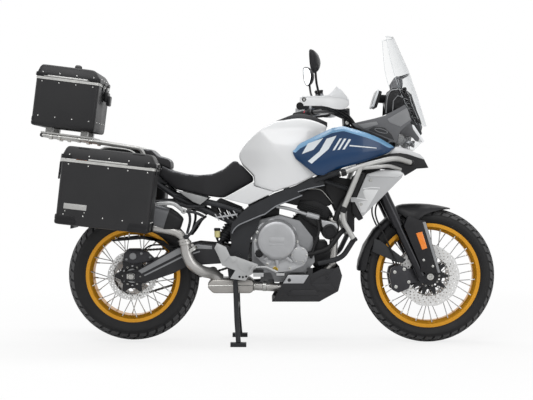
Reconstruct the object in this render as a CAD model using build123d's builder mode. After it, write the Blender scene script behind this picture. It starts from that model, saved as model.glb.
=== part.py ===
"""Adventure motorcycle with wire wheels and three aluminium cases, parked on its centre stand.

Row frame in millimetres: +X points forward, +Y to the rider's left, +Z up.
The origin lies on the ground at the middle of the overall length and width.
"""

import os
from math import acos, atan2, cos, hypot, pi, radians, sin

from build123d import *

os.makedirs("parts", exist_ok=True)

# ---------------------------------------------------------------- driving dimensions
WHEELBASE = 1440
REAR_AXLE_X = -650
FRONT_AXLE_X = REAR_AXLE_X + WHEELBASE
REAR_LIFT = 10  # the centre stand holds the rear tyre this far off the ground
FRONT_TYRE_R = 329
REAR_TYRE_R = 321
FRONT_AXLE_Z = FRONT_TYRE_R
REAR_AXLE_Z = REAR_TYRE_R + REAR_LIFT

DRAWN_AXLE_X = 790  # where the outlines below were drawn with the front axle
AXLE_SHIFT = FRONT_AXLE_X - DRAWN_AXLE_X
NOSE_START = 300  # the outlines behind this stay with the engine
NOSE_END = 460  # the outlines ahead of this stay with the front axle

RAKE = 25.5  # degrees from upright
FORK_OFFSET = 52  # front axle ahead of the steering axis
AXLE_LEAD = 35  # front axle ahead of the fork legs
LEG_Y = 105
OUTER_TUBE_R = 28
INNER_TUBE_R = 22
STEM_R = 15
RUNNING_FIT = 0.05  # radial clearance of a shaft that turns in its bore
SEAT = 0.3  # clearance round a part that is clamped or pushed in

AXLE_R = 10
PIVOT_X = -140
PIVOT_Z = 428
ARM_IN = 101  # inner faces of the swingarm's two arms
ARM_OUT = 130
PLATE_IN = 134  # inner faces of the frame's pivot plates
PLATE_OUT = 148
STAND_X = -150
STAND_Z = 340
SIDE_STAND_X = 12
SIDE_STAND_Y = 196
SIDE_STAND_Z = 285


# ---------------------------------------------------------------- ways of making a form
def side_plane(y):
    """Sketch plane whose x is forward and whose y is up. It extrudes towards -Y."""
    return Plane.XZ.offset(-y)


def plate(outline, y_left, y_right, corner=0, mode=Mode.ADD):
    """A side-view outline carried across the bike from y_left to y_right."""
    with BuildSketch(side_plane(y_left)) as profile:
        Polygon(*outline, align=None)
        if corner:
            fillet(profile.vertices(), corner)
    extrude(to_extrude=profile.sketch, amount=y_left - y_right, mode=mode)


def plan(outline, z_low, z_high, mode=Mode.ADD):
    """A top-view outline carried up from z_low to z_high."""
    with BuildSketch(Plane.XY.offset(z_low)) as profile:
        Polygon(*outline, align=None)
    extrude(to_extrude=profile.sketch, amount=z_high - z_low, mode=mode)


def front_view(outline, x_rear, x_front, mode=Mode.ADD):
    """A front-view outline of (y, z) points carried forward from x_rear to x_front."""
    with BuildSketch(Plane.YZ.offset(x_rear)) as profile:
        Polygon(*outline, align=None)
    extrude(to_extrude=profile.sketch, amount=x_front - x_rear, mode=mode)


def curved(plane, *runs):
    """A closed outline on a plane. A run of two points is a straight edge, a longer one a smooth curve."""
    with BuildSketch(plane) as profile:
        with BuildLine():
            for run in runs:
                if len(run) > 2:
                    Spline(*run)
                else:
                    Line(*run)
        make_face()
    return profile.sketch


def nose(points):
    """Points of the fixed front end. Those ahead of the engine follow the front axle when it moves."""
    return [(x + AXLE_SHIFT * min(max((x - NOSE_START) / (NOSE_END - NOSE_START), 0), 1), *rest) for x, *rest in points]


def with_fork(points):
    """Points of a piece that turns with the fork, so all of it moves with the front axle."""
    return [(x + AXLE_SHIFT, *rest) for x, *rest in points]


def drum(x, z, y_left, y_right, radius, bore=0, mode=Mode.ADD):
    """A round piece whose axis lies across the bike."""
    with BuildSketch(side_plane(y_left)) as profile:
        with Locations((x, z)):
            Circle(radius)
            if bore:
                Circle(bore, mode=Mode.SUBTRACT)
    extrude(to_extrude=profile.sketch, amount=y_left - y_right, mode=mode)


def bar(points, radius, bend=0, mode=Mode.ADD):
    """A round bar along straight runs joined by tangent arcs."""
    with BuildLine() as path:
        if bend:
            FilletPolyline(*points, radius=bend)
        else:
            Line(*points)
    with BuildSketch(Plane(origin=path.line @ 0, z_dir=path.line % 0)) as section:
        Circle(radius)
    sweep(sections=section.sketch, path=path.line, mode=mode)


def block(low, high, mode=Mode.ADD):
    """A square block between two corners."""
    plan([(low[0], low[1]), (high[0], low[1]), (high[0], high[1]), (low[0], high[1])], low[2], high[2], mode)


def mirrored(y_pairs):
    """Each (x, y) point and then its mirror image, back along the other side."""
    return [*y_pairs, *[(x, -y) for x, y in reversed(y_pairs)]]


# ---------------------------------------------------------------- wheels
FLANGE_H = 14
FLANGE_T = 5
DROP = 14
RIM_WALL = 5
SPOKES_PER_SIDE = 18
SPOKE_R = 2.2
SPOKE_LEAN = radians(44)
DISC_T = 5
HUB_FLANGE_T = 7
FRONT_DISC_Y = 64
REAR_DISC_Y = 88
CHAIN_Y = 88
SPROCKET_T = 7

# name, axle x, axle z, tyre radius, tyre half width, bead seat radius, rim half width,
# barrel radius, spoke flange radius, spoke flange y, half length, seat radius, right seat y, left seat y
WHEELS = [
    ("front", FRONT_AXLE_X, FRONT_AXLE_Z, FRONT_TYRE_R, 55, 241, 37)
    + (24, 48, 34, 72, 40, FRONT_DISC_Y - DISC_T / 2, FRONT_DISC_Y - DISC_T / 2),
    ("rear", REAR_AXLE_X, REAR_AXLE_Z, REAR_TYRE_R, 75, 216, 59)
    + (32, 60, 48, 98, 50, REAR_DISC_Y - DISC_T / 2, CHAIN_Y - SPROCKET_T / 2),
]

for name, x, z, tyre_r, tyre_half, bead, rim_half, barrel, flange_r, flange_y, length, seat_r, right, left in WHEELS:
    section_plane = Plane(origin=(x, 0, z), x_dir=(0, 1, 0), z_dir=(1, 0, 0))
    axle = Axis((x, 0, z), (0, 1, 0))
    wall = tyre_r - bead

    with BuildPart() as tyre:
        with BuildSketch(section_plane):
            with BuildLine():
                foot = [
                    (rim_half - FLANGE_T - SEAT, bead + SEAT),
                    (rim_half - FLANGE_T - SEAT, bead + FLANGE_H + 2),
                    (rim_half + 1, bead + FLANGE_H + 4),
                    (tyre_half - 1, tyre_r - 0.55 * wall),
                    (tyre_half - 3, tyre_r - 0.36 * wall),
                ]
                Polyline(*foot)
                ThreePointArc(foot[-1], (0, tyre_r), (-foot[-1][0], foot[-1][1]))
                Polyline(*[(-y, r) for y, r in reversed(foot)])
                Line((-foot[0][0], foot[0][1]), foot[0])
            make_face()
        revolve(axis=axle)
    tyre.part.label = f"{name}_tyre"
    export_step(tyre.part, f"parts/{name}_tyre.step")

    with BuildPart() as rim:
        with BuildSketch(section_plane):
            half_rim = [
                (rim_half - 17, bead - DROP - RIM_WALL),
                (rim_half - 5, bead - 8),
                (rim_half, bead - 3),
                (rim_half, bead + FLANGE_H),
                (rim_half - FLANGE_T, bead + FLANGE_H),
                (rim_half - FLANGE_T, bead),
                (rim_half - 16, bead),
                (rim_half - 24, bead - DROP),
            ]
            Polygon(*half_rim, *[(-y, r) for y, r in reversed(half_rim)], align=None)
        revolve(axis=axle)
    rim.part.label = f"{name}_rim"
    export_step(rim.part, f"parts/{name}_rim.step")

    with BuildPart() as hub:
        drum(x, z, length, -length, barrel, AXLE_R + RUNNING_FIT)
        drum(x, z, left, -right, seat_r, AXLE_R + RUNNING_FIT)
        for side in (1, -1):
            middle = side * flange_y
            drum(x, z, middle + HUB_FLANGE_T / 2, middle - HUB_FLANGE_T / 2, flange_r, AXLE_R + RUNNING_FIT)
            for k in range(SPOKES_PER_SIDE):
                at_rim = 2 * pi * (k + side / 4) / SPOKES_PER_SIDE
                at_hub = at_rim + (SPOKE_LEAN if k % 2 else -SPOKE_LEAN)
                hub_r = flange_r - 5
                rim_r = bead - 9
                rim_y = rim_half - 9
                bar(
                    [
                        (x + hub_r * cos(at_hub), middle, z + hub_r * sin(at_hub)),
                        (x + rim_r * cos(at_rim), side * rim_y, z + rim_r * sin(at_rim)),
                    ],
                    SPOKE_R,
                )
        add(rim.part, mode=Mode.SUBTRACT)
    hub.part.label = f"{name}_hub_and_spokes"
    export_step(hub.part, f"parts/{name}_hub_and_spokes.step")


FRONT_BARREL_R = WHEELS[0][7]
REAR_BARREL_R = WHEELS[1][7]
FRONT_HUB_HALF = WHEELS[0][10]
REAR_HUB_HALF = WHEELS[1][10]


def brake_disc(x, z, y, radius, band, spider_r, arms, bore):
    """A brake ring carried on a bolted spider."""
    with BuildSketch(side_plane(y + DISC_T / 2)) as profile:
        with Locations((x, z)):
            Circle(radius)
            Circle(radius - band, mode=Mode.SUBTRACT)
            with PolarLocations((radius - band + spider_r) / 2, arms):
                Rectangle(radius - band - spider_r + 10, 15)
            Circle(spider_r)
            Circle(bore, mode=Mode.SUBTRACT)
    extrude(to_extrude=profile.sketch, amount=DISC_T)


with BuildPart() as front_discs:
    for side in (1, -1):
        brake_disc(FRONT_AXLE_X, FRONT_AXLE_Z, side * FRONT_DISC_Y, 150, 34, 60, 10, FRONT_BARREL_R + SEAT)
front_discs.part.label = "front_discs"
export_step(front_discs.part, "parts/front_discs.step")

with BuildPart() as rear_disc:
    brake_disc(REAR_AXLE_X, REAR_AXLE_Z, -REAR_DISC_Y, 120, 30, 56, 6, REAR_BARREL_R + SEAT)
rear_disc.part.label = "rear_disc"
export_step(rear_disc.part, "parts/rear_disc.step")

# Chain drive: the teeth run between the chain's two rows of side plates.
CHAIN_PITCH = 15.875
REAR_TEETH = 44
DRIVE_TEETH = 16
DRIVE_X = -62
DRIVE_Z = 440
TOOTH_H = 3
CHAIN_PLATE_T = 4
CHAIN_GAP = 8.4  # room between the rows of plates
CHAIN_HALF_H = 7.5
ROLLER_HALF_H = 4
REAR_PITCH_R = CHAIN_PITCH / (2 * sin(pi / REAR_TEETH))
DRIVE_PITCH_R = CHAIN_PITCH / (2 * sin(pi / DRIVE_TEETH))


def toothed_disc(x, z, teeth, pitch_r, bore):
    """A sprocket with flat-sided teeth."""
    tooth = 2 * pi / teeth
    outline = []
    for k in range(teeth):
        for share, radius in ((-0.3, pitch_r - 5), (-0.12, pitch_r + TOOTH_H), (0.12, pitch_r + TOOTH_H), (0.3, pitch_r - 5)):
            angle = (k + share) * tooth
            outline.append((x + radius * cos(angle), z + radius * sin(angle)))
    plate(outline, CHAIN_Y + SPROCKET_T / 2, CHAIN_Y - SPROCKET_T / 2)
    if bore:
        drum(x, z, CHAIN_Y + SPROCKET_T, CHAIN_Y - SPROCKET_T, bore, mode=Mode.SUBTRACT)


with BuildPart() as rear_sprocket:
    toothed_disc(REAR_AXLE_X, REAR_AXLE_Z, REAR_TEETH, REAR_PITCH_R, REAR_BARREL_R + SEAT)
    with BuildSketch(side_plane(CHAIN_Y + SPROCKET_T)) as windows:
        with Locations((REAR_AXLE_X, REAR_AXLE_Z)):
            with PolarLocations(80, 5, start_angle=36):
                Circle(16)
    extrude(amount=2 * SPROCKET_T, mode=Mode.SUBTRACT)
rear_sprocket.part.label = "rear_sprocket"
export_step(rear_sprocket.part, "parts/rear_sprocket.step")


def chain_loop(grow):
    """Outline of the chain's closed run round both sprockets, grown outwards from the pitch line."""
    span_x = DRIVE_X - REAR_AXLE_X
    span_z = DRIVE_Z - REAR_AXLE_Z
    rise = atan2(span_z, span_x)
    lean = acos((REAR_PITCH_R - DRIVE_PITCH_R) / hypot(span_x, span_z))
    rear_r = REAR_PITCH_R + grow
    drive_r = DRIVE_PITCH_R + grow
    over, under = rise + lean, rise - lean
    rear_top = (REAR_AXLE_X + rear_r * cos(over), REAR_AXLE_Z + rear_r * sin(over))
    rear_low = (REAR_AXLE_X + rear_r * cos(under), REAR_AXLE_Z + rear_r * sin(under))
    drive_top = (DRIVE_X + drive_r * cos(over), DRIVE_Z + drive_r * sin(over))
    drive_low = (DRIVE_X + drive_r * cos(under), DRIVE_Z + drive_r * sin(under))
    rear_back = (REAR_AXLE_X - rear_r * cos(rise), REAR_AXLE_Z - rear_r * sin(rise))
    drive_front = (DRIVE_X + drive_r * cos(rise), DRIVE_Z + drive_r * sin(rise))
    with BuildLine() as loop:
        Line(rear_top, drive_top)
        ThreePointArc(drive_top, drive_front, drive_low)
        Line(drive_low, rear_low)
        ThreePointArc(rear_low, rear_back, rear_top)
    return loop.line


def chain_band(grow, y_left, y_right):
    """A band of even height that follows the chain's run."""
    with BuildSketch(side_plane(y_left)) as profile:
        with BuildLine():
            add(chain_loop(grow))
        make_face()
        with BuildLine():
            add(chain_loop(-grow))
        make_face(mode=Mode.SUBTRACT)
    extrude(to_extrude=profile.sketch, amount=y_left - y_right)


with BuildPart() as chain:
    chain_band(CHAIN_HALF_H, CHAIN_Y + CHAIN_GAP / 2 + CHAIN_PLATE_T, CHAIN_Y + CHAIN_GAP / 2)
    chain_band(CHAIN_HALF_H, CHAIN_Y - CHAIN_GAP / 2, CHAIN_Y - CHAIN_GAP / 2 - CHAIN_PLATE_T)
    for run in (chain_loop(0).edges()[0], chain_loop(0).edges()[2]):
        ends = [run.position_at(share) for share in (0.16, 0.5, 0.84)]
        across = Vector(-(ends[2] - ends[0]).Y, (ends[2] - ends[0]).X).normalized() * ROLLER_HALF_H
        outline = [ends[0] + across, ends[2] + across, ends[2] - across, ends[0] - across]
        plate([(p.X, p.Y) for p in outline], CHAIN_Y + CHAIN_GAP / 2, CHAIN_Y - CHAIN_GAP / 2)
chain.part.label = "chain"
export_step(chain.part, "parts/chain.step")

# ---------------------------------------------------------------- rear suspension
with BuildPart() as swingarm:
    arm_outline = [
        (-112, 400),
        (-112, 458),
        (-200, 480),
        (-330, 492),
        (-430, 470),
        (-614, 366),
        (-690, 352),
        (-690, 310),
        (-584, 300),
        (-452, 344),
        (-383, 380),
        (-300, 388),
    ]
    plate(arm_outline, ARM_OUT, ARM_IN)
    plate(arm_outline, -ARM_IN, -ARM_OUT)
    plate([(-275, 408), (-175, 405), (-175, 446), (-275, 440)], ARM_IN, -ARM_IN)
    plate([(-275, 408), (-175, 405), (-190, 468), (-262, 468)], 60, -ARM_IN)
    drum(PIVOT_X, PIVOT_Z, PLATE_IN, -PLATE_IN, 26)
    drum(REAR_AXLE_X, REAR_AXLE_Z, ARM_OUT + 12, -ARM_OUT - 12, AXLE_R)
    for side in (1, -1):
        low, high = sorted((side * (REAR_HUB_HALF + 0.5), side * ARM_IN))
        drum(REAR_AXLE_X, REAR_AXLE_Z, high, low, 17)
        low, high = sorted((side * ARM_OUT, side * (ARM_OUT + 10)))
        drum(REAR_AXLE_X, REAR_AXLE_Z, high, low, 16)
swingarm.part.label = "swingarm"
export_step(swingarm.part, "parts/swingarm.step")

CALIPER_HALF_GAP = 5
with BuildPart() as rear_caliper:
    plate(
        [(-515, 352), (-560, 338), (-590, 365), (-575, 405), (-530, 425), (-498, 400)],
        -REAR_DISC_Y + 17,
        -REAR_DISC_Y - CALIPER_HALF_GAP - 8,
        6,
    )
    drum(REAR_AXLE_X, REAR_AXLE_Z, -REAR_DISC_Y + 9, -REAR_DISC_Y - 9, 127, mode=Mode.SUBTRACT)
    plate(
        [(-500, 360), (-562, 340), (-588, 366), (-574, 400), (-532, 420), (-500, 398)],
        -REAR_DISC_Y + 17,
        -REAR_DISC_Y + CALIPER_HALF_GAP,
    )
    plate(
        [(-500, 360), (-562, 340), (-588, 366), (-574, 400), (-532, 420), (-500, 398)],
        -REAR_DISC_Y - CALIPER_HALF_GAP,
        -ARM_IN,
    )
    add(swingarm.part, mode=Mode.SUBTRACT)
rear_caliper.part.label = "rear_caliper"
export_step(rear_caliper.part, "parts/rear_caliper.step")

SHOCK_TOP = (-132, 0, 625)
SHOCK_FOOT = (-228, 0, 480)
with BuildPart() as shock_absorber:
    drum(SHOCK_FOOT[0], SHOCK_FOOT[2], 14, -14, 13)
    drum(SHOCK_TOP[0], SHOCK_TOP[2], 14, -14, 20, 14 + SEAT)
    along = (Vector(SHOCK_TOP) - Vector(SHOCK_FOOT)).normalized()
    bar([Vector(SHOCK_FOOT) + along * 9, Vector(SHOCK_TOP) - along * 17], 14)
    bar([Vector(SHOCK_FOOT) + along * 24, Vector(SHOCK_TOP) - along * 30], 30)
    drum(SHOCK_TOP[0], SHOCK_TOP[2], 14, -14, 14 + SEAT, mode=Mode.SUBTRACT)
    add(swingarm.part, mode=Mode.SUBTRACT)
shock_absorber.part.label = "shock_absorber"
export_step(shock_absorber.part, "parts/shock_absorber.step")

# ---------------------------------------------------------------- steering geometry
STEER_UP = Vector(-sin(radians(RAKE)), 0, cos(radians(RAKE)))
STEER_FWD = Vector(cos(radians(RAKE)), 0, sin(radians(RAKE)))
STEER_FOOT = Vector(FRONT_AXLE_X, 0, FRONT_AXLE_Z) - STEER_FWD * FORK_OFFSET
LEG_FWD = FORK_OFFSET - AXLE_LEAD
LOWER_CLAMP = (560, 600)  # heights along the steering axis above the axle's level
UPPER_CLAMP = (775, 805)
HEAD_TUBE = (603, 772)
HEAD_TUBE_R = 32


def on_steering(up, forward=0, across=0):
    """A point given up the steering axis from the axle's level, ahead of the axis, and to the left."""
    return STEER_FOOT + STEER_UP * up + STEER_FWD * forward + Vector(0, across, 0)


def post(up_low, up_high, forward, across, radius, bore=0, mode=Mode.ADD):
    """A round piece parallel to the steering axis."""
    with BuildSketch(Plane(origin=on_steering(up_low, forward, across), x_dir=(0, 1, 0), z_dir=STEER_UP)) as section:
        Circle(radius)
        if bore:
            Circle(bore, mode=Mode.SUBTRACT)
    extrude(to_extrude=section.sketch, amount=up_high - up_low, mode=mode)


# ---------------------------------------------------------------- frame
BEAM_R = 17
BEAM_Y = 151
RAIL_R = 12.5
RAIL_Y = 112
STAY_HALF = 30

with BuildPart() as frame:
    plate(
        [
            (-81, 670),
            (-120, 640),
            (-164, 587),
            (-174, 543),
            (-169, 484),
            (-190, 400),
            (-182, 328),
            (-150, 316),
            (-118, 328),
            (-92, 400),
            (-76, 514),
            (-57, 543),
            (-23, 621),
            (-15, 655),
        ],
        -PLATE_IN,
        -PLATE_OUT,
    )
    bar(nose([(-70, -BEAM_Y, 648), (120, -BEAM_Y, 727), (258, -138, 800), (376, -48, 878), (452, -20, 925)]), BEAM_R, 60)
    bar(nose([(280, -120, 790), (392, -120, 752)]), 10)
    bar([(-118, -141, 640), (-210, -RAIL_Y, 668), (-447, -RAIL_Y, 722), (-560, -RAIL_Y, 800), (-880, -RAIL_Y, 864)], RAIL_R, 30)
    bar([(-150, -141, 585), (-200, -RAIL_Y, 606), (-447, -RAIL_Y, 715)], RAIL_R, 30)
    plate(
        [(230, 810), (148, 768), (38, 728), (-81, 670), (-120, 640), (-164, 587), (-174, 543), (-166, 538), (-132, 578)]
        + [(-26, 624), (-7, 630), (41, 667), (109, 694), (173, 721), (149, 737), (185, 755), (277, 772), (270, 800)],
        -BEAM_Y - 6,
        -BEAM_Y - BEAM_R - 2,
    )
    plate([(86, 735), (110, 740), (110, 761.2), (86, 753.1)], -140, -160)
    plate([(-310, 695), (-290, 695), (-290, 718.4), (-310, 721.4)], -102, -122)
    mirror(about=Plane.XZ)
    for x, z, radius in ((-132, 625, 14), (-870, 862, 10), (-500, 757, 10)):
        drum(x, z, PLATE_IN if radius == 14 else RAIL_Y, -PLATE_IN if radius == 14 else -RAIL_Y, radius)
    plate(nose([(440, 880), (420, 935), (628, 985), (628, 950)]), STAY_HALF, -STAY_HALF)
    post(*HEAD_TUBE, 0, 0, HEAD_TUBE_R)
    post(HEAD_TUBE[0] - 1, HEAD_TUBE[1] + 1, 0, 0, STEM_R + RUNNING_FIT, mode=Mode.SUBTRACT)
    for side in (1, -1):
        low, high = sorted((side * PLATE_IN, side * (PLATE_OUT + 8)))
        drum(PIVOT_X, PIVOT_Z, high, low, 18)
    drum(STAND_X, STAND_Z, 200, -200, 8 + RUNNING_FIT, mode=Mode.SUBTRACT)
frame.part.label = "frame"
export_step(frame.part, "parts/frame.step")

# ---------------------------------------------------------------- engine
CASE_Y = 130
with BuildPart() as engine_case:
    plate(
        [(-70, 400), (-40, 350), (190, 350), (232, 400), (222, 520), (160, 598), (60, 625), (-48, 600), (-70, 520)],
        CASE_Y,
        -CASE_Y,
        12,
    )
    plate([(20, 352), (40, 300), (180, 300), (196, 352)], 85, -85)
    block((-120, 66, 375), (10, 150, 512), mode=Mode.SUBTRACT)
    drum(DRIVE_X, DRIVE_Z, 120, 60, 12)
    toothed_disc(DRIVE_X, DRIVE_Z, DRIVE_TEETH, DRIVE_PITCH_R, 0)
    plate([(-30, 262), (40, 262), (40, 352), (-30, 352)], SIDE_STAND_Y - 14, CASE_Y - 14)
    plate([(-30, 300), (40, 300), (40, 352), (-30, 352)], CASE_Y - 14, 84)
    drum(SIDE_STAND_X, SIDE_STAND_Z, SIDE_STAND_Y + 12, CASE_Y, 8)
engine_case.part.label = "engine_case"
export_step(engine_case.part, "parts/engine_case.step")

CLUTCH_RIM = [(-23, 576), (21, 610), (75, 605), (138, 566), (153, 488), (197, 415), (178, 386), (119, 361)] + [
    (46, 352),
    (-3, 381),
    (-57, 434),
    (-62, 503),
]
CLUTCH_PANEL = [(-37, 488), (-13, 542), (50, 576), (109, 566), (124, 483), (55, 434)]
RIM_BOLTS = [(-42, 545), (20, 592), (78, 588), (128, 552), (-50, 505), (-46, 441), (4, 392), (112, 372), (178, 402), (160, 440)]
with BuildPart() as engine_covers:
    plate(CLUTCH_RIM, -CASE_Y, -158, 12)
    plate(CLUTCH_PANEL, -158, -176, 12)
    plate([(-26, 488), (-4, 532), (50, 562), (98, 553), (110, 488), (55, 446)], -176, -184, 10)
    for x, z in RIM_BOLTS:
        drum(x, z, -CASE_Y, -163, 9)
    for x, z, side, steps in (
        (158, 436, -1, ((158, 170, 40), (170, 180, 30))),
        (42, 368, -1, ((CASE_Y, 166, 14),)),
        (-35, 444, -1, ((CASE_Y, 168, 16),)),
        (105, 470, 1, ((CASE_Y, 162, 88), (162, 184, 72), (184, 190, 40))),
        (-10, 560, -1, ((CASE_Y, 150, 30),)),
    ):
        for near, far, radius in steps:
            low, high = sorted((side * near, side * far))
            drum(x, z, high, low, radius)
    plate([(-112, 395), (-20, 380), (14, 400), (14, 495), (-40, 515), (-112, 480)], 120, 104, 10)
    plate([(10, 375), (30, 375), (30, 520), (10, 520)], 134, CASE_Y)
    plate([(6, 375), (22, 375), (22, 520), (6, 520)], 134, 104)
    add(engine_case.part, mode=Mode.SUBTRACT)
engine_covers.part.label = "engine_covers"
export_step(engine_covers.part, "parts/engine_covers.step")

FRONT_LEAN = radians(48)  # cylinders' lean from upright
REAR_LEAN = radians(-20)
BORE_HALF = 62
FIN_PITCH = 15
FIN_REACH = 14
FIN_T = 4


def cylinder_place(foot_x, foot_z, lean):
    """Plane at a cylinder's foot, square to its bore: x is across the bike, z runs up the bore."""
    return Plane(origin=(foot_x, 0, foot_z), x_dir=(0, 1, 0), z_dir=(sin(lean), 0, cos(lean)))


# foot x, foot z, lean, barrel length, head length
CYLINDERS = [(165, 560, FRONT_LEAN, 62, 100), (-5, 606, REAR_LEAN, 36, 76)]
with BuildPart() as cylinders:
    for foot_x, foot_z, lean, barrel_length, head_length in CYLINDERS:
        base = cylinder_place(foot_x, foot_z, lean)
        with BuildSketch(base) as bore:
            RectangleRounded(2 * BORE_HALF, 2 * BORE_HALF, 20)
        extrude(to_extrude=bore.sketch, amount=barrel_length)
        for rise in range(FIN_PITCH, int(barrel_length), FIN_PITCH):
            with BuildSketch(base.offset(rise)) as fin:
                RectangleRounded(2 * BORE_HALF + FIN_REACH, 2 * BORE_HALF + FIN_REACH, 24)
            extrude(to_extrude=fin.sketch, amount=FIN_T)
        with BuildSketch(base.offset(barrel_length)) as head:
            RectangleRounded(2 * BORE_HALF + 24, 2 * BORE_HALF + 4, 14)
        extrude(to_extrude=head.sketch, amount=head_length - 28)
        with BuildSketch(base.offset(barrel_length + head_length - 28)) as cover:
            RectangleRounded(2 * BORE_HALF + 8, 2 * BORE_HALF - 8, 20)
        extrude(to_extrude=cover.sketch, amount=28, taper=14)
    add(engine_case.part, mode=Mode.SUBTRACT)
    add(frame.part, mode=Mode.SUBTRACT)
cylinders.part.label = "cylinders"
export_step(cylinders.part, "parts/cylinders.step")

with BuildPart() as radiator:
    (x_rear, y_right, z_low), (x_front, y_left, z_high) = nose([(388, -148, 545), (420, 148, 762)])
    block((x_rear, y_right, z_low), (x_front, y_left, z_high))
    add(frame.part, mode=Mode.SUBTRACT)
radiator.part.label = "radiator"
export_step(radiator.part, "parts/radiator.step")

# ---------------------------------------------------------------- exhaust
PIPE_R = 25
BOX_RIGHT = -125
BOX_LEFT = 60
with BuildPart() as exhaust_box:
    plate(
        [(-62, 262), (-62, 304), (-80, 317), (-262, 317), (-282, 300), (-282, 274), (-257, 249), (-76, 249)],
        BOX_LEFT,
        BOX_RIGHT,
    )
exhaust_box.part.label = "exhaust_box"
export_step(exhaust_box.part, "parts/exhaust_box.step")

with BuildPart() as exhaust_headers:
    bar([(262, -35, 640), (335, -60, 590), (318, -62, 380), (215, -62, 262), (-62, -62, 280)], 21, 45)
    add(cylinders.part, mode=Mode.SUBTRACT)
    add(exhaust_box.part, mode=Mode.SUBTRACT)
exhaust_headers.part.label = "exhaust_headers"
export_step(exhaust_headers.part, "parts/exhaust_headers.step")

CAN_FRONT = (-412, -176, 588)
CAN_REAR = (-810, -176, 716)
with BuildPart() as silencer:
    bar([(-232, -85, 308), (-258, -98, 345), (-288, -165, 368), (-334, -172, 425), (-385, -176, 505), (-406, -176, 587)], PIPE_R, 18)
    can = Plane(origin=CAN_FRONT, x_dir=(0, 1, 0), z_dir=Vector(CAN_REAR) - Vector(CAN_FRONT))
    can_length = (Vector(CAN_REAR) - Vector(CAN_FRONT)).length
    with BuildSketch(can.offset(-14)) as inlet:
        RectangleRounded(60, 62, 26)
    with BuildSketch(can.offset(60)) as shoulder:
        RectangleRounded(86, 112, 36)
    loft(sections=[inlet.sketch, shoulder.sketch])
    with BuildSketch(can.offset(60)) as sleeve:
        RectangleRounded(86, 112, 36)
    extrude(to_extrude=sleeve.sketch, amount=can_length - 100)
    with BuildSketch(can.offset(can_length - 40)) as tail:
        RectangleRounded(74, 96, 30)
    extrude(to_extrude=tail.sketch, amount=40, taper=12)
    with BuildSketch(can.offset(can_length - 30)) as outlet:
        RectangleRounded(44, 60, 18)
    extrude(to_extrude=outlet.sketch, amount=60, mode=Mode.SUBTRACT)
    add(exhaust_box.part, mode=Mode.SUBTRACT)
silencer.part.label = "silencer"
export_step(silencer.part, "parts/silencer.step")

SKID_Y = 150
SKID_T = 4
with BuildPart() as skid_plate:
    plate(
        [
            (26, 211),
            (253, 211),
            (344, 261),
            (363, 335),
            (348, 383),
            (330, 372),
            (264, 369),
            (224, 346),
            (102, 343),
            (75, 297),
        ],
        SKID_Y,
        -SKID_Y,
    )
    plate(
        [(20, 215), (252, 215), (340.5, 263.5), (358.7, 335), (340, 400), (20, 400)],
        SKID_Y - SKID_T,
        -SKID_Y + SKID_T,
        mode=Mode.SUBTRACT,
    )
    for side in (1, -1):
        low, high = sorted((side * CASE_Y, side * SKID_Y))
        block((196, low, 325), (222, high, 372))
skid_plate.part.label = "skid_plate"
export_step(skid_plate.part, "parts/skid_plate.step")

# ---------------------------------------------------------------- tank, seats and bodywork
TANK_HALF = 165
TANK_REAR = [(-133, 925), (-77, 997), (-21, 1042), (47, 1081)]
TANK_EDGE = [TANK_REAR[-1], (96, 1086), (144, 1093), (219, 1084), (294, 1051)]
SPINE_TOP = [TANK_REAR[-1], (100, 1102), (144, 1116), (219, 1106), (294, 1073)]
SPINE_CROWN = [(-88, 1040), (-86, 1082), (-68, 1108), (-36, 1122)]
TANK_PLAN = [(-140, 78), (-90, 106), (0, 150), (90, TANK_HALF), (200, TANK_HALF + 1), (300, 148), (350, 120)]
TANK_SHOULDER = [(-TANK_HALF - 2, 860), (-160, 940), (-142, 1020), (-108, 1080), (-62, 1120)]
with BuildPart() as fuel_tank:
    under = [TANK_EDGE[-1], (286, 1040), (286, 990), (330, 925), (345, 893), (232, 817), (148, 774), (38, 737)]
    under += [(-60, 765), (-64, 812), (-120, 868), (-135, 903), TANK_REAR[0]]
    side_view = curved(side_plane(TANK_HALF + 2), TANK_REAR, TANK_EDGE, *zip(under[:-1], under[1:]))
    extrude(to_extrude=side_view, amount=2 * TANK_HALF + 4)
    left = TANK_PLAN
    right = [(x, -y) for x, y in reversed(TANK_PLAN)]
    extrude(
        to_extrude=curved(Plane.XY.offset(700), left, (left[-1], right[0]), right, (right[-1], left[0])),
        amount=500,
        mode=Mode.INTERSECT,
    )
    far_shoulder = [(-y, z) for y, z in reversed(TANK_SHOULDER)]
    foot = [(far_shoulder[-1][0], 700), (TANK_SHOULDER[0][0], 700)]
    across = curved(
        Plane.YZ.offset(-200),
        TANK_SHOULDER,
        (TANK_SHOULDER[-1], far_shoulder[0]),
        far_shoulder,
        (far_shoulder[-1], foot[0]),
        (foot[0], foot[1]),
        (foot[1], TANK_SHOULDER[0]),
    )
    extrude(to_extrude=across, amount=700, mode=Mode.INTERSECT)
    add(cylinders.part, mode=Mode.SUBTRACT)
fuel_tank.part.label = "fuel_tank"
export_step(fuel_tank.part, "parts/fuel_tank.step")

with BuildPart() as tank_trim:
    under = [SPINE_TOP[-1], TANK_EDGE[-1], (60, 1070), SPINE_TOP[0]]
    spine = curved(side_plane(-SPINE_CROWN[0][0]), SPINE_TOP, *zip(under[:-1], under[1:]))
    extrude(to_extrude=spine, amount=-2 * SPINE_CROWN[0][0])
    far_crown = [(-y, z) for y, z in reversed(SPINE_CROWN)]
    crown = curved(
        Plane.YZ,
        SPINE_CROWN,
        (SPINE_CROWN[-1], far_crown[0]),
        far_crown,
        (far_crown[-1], SPINE_CROWN[0]),
    )
    extrude(to_extrude=crown, amount=400, mode=Mode.INTERSECT)
    add(fuel_tank.part, mode=Mode.SUBTRACT)
tank_trim.part.label = "tank_trim"
export_step(tank_trim.part, "parts/tank_trim.step")

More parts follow.
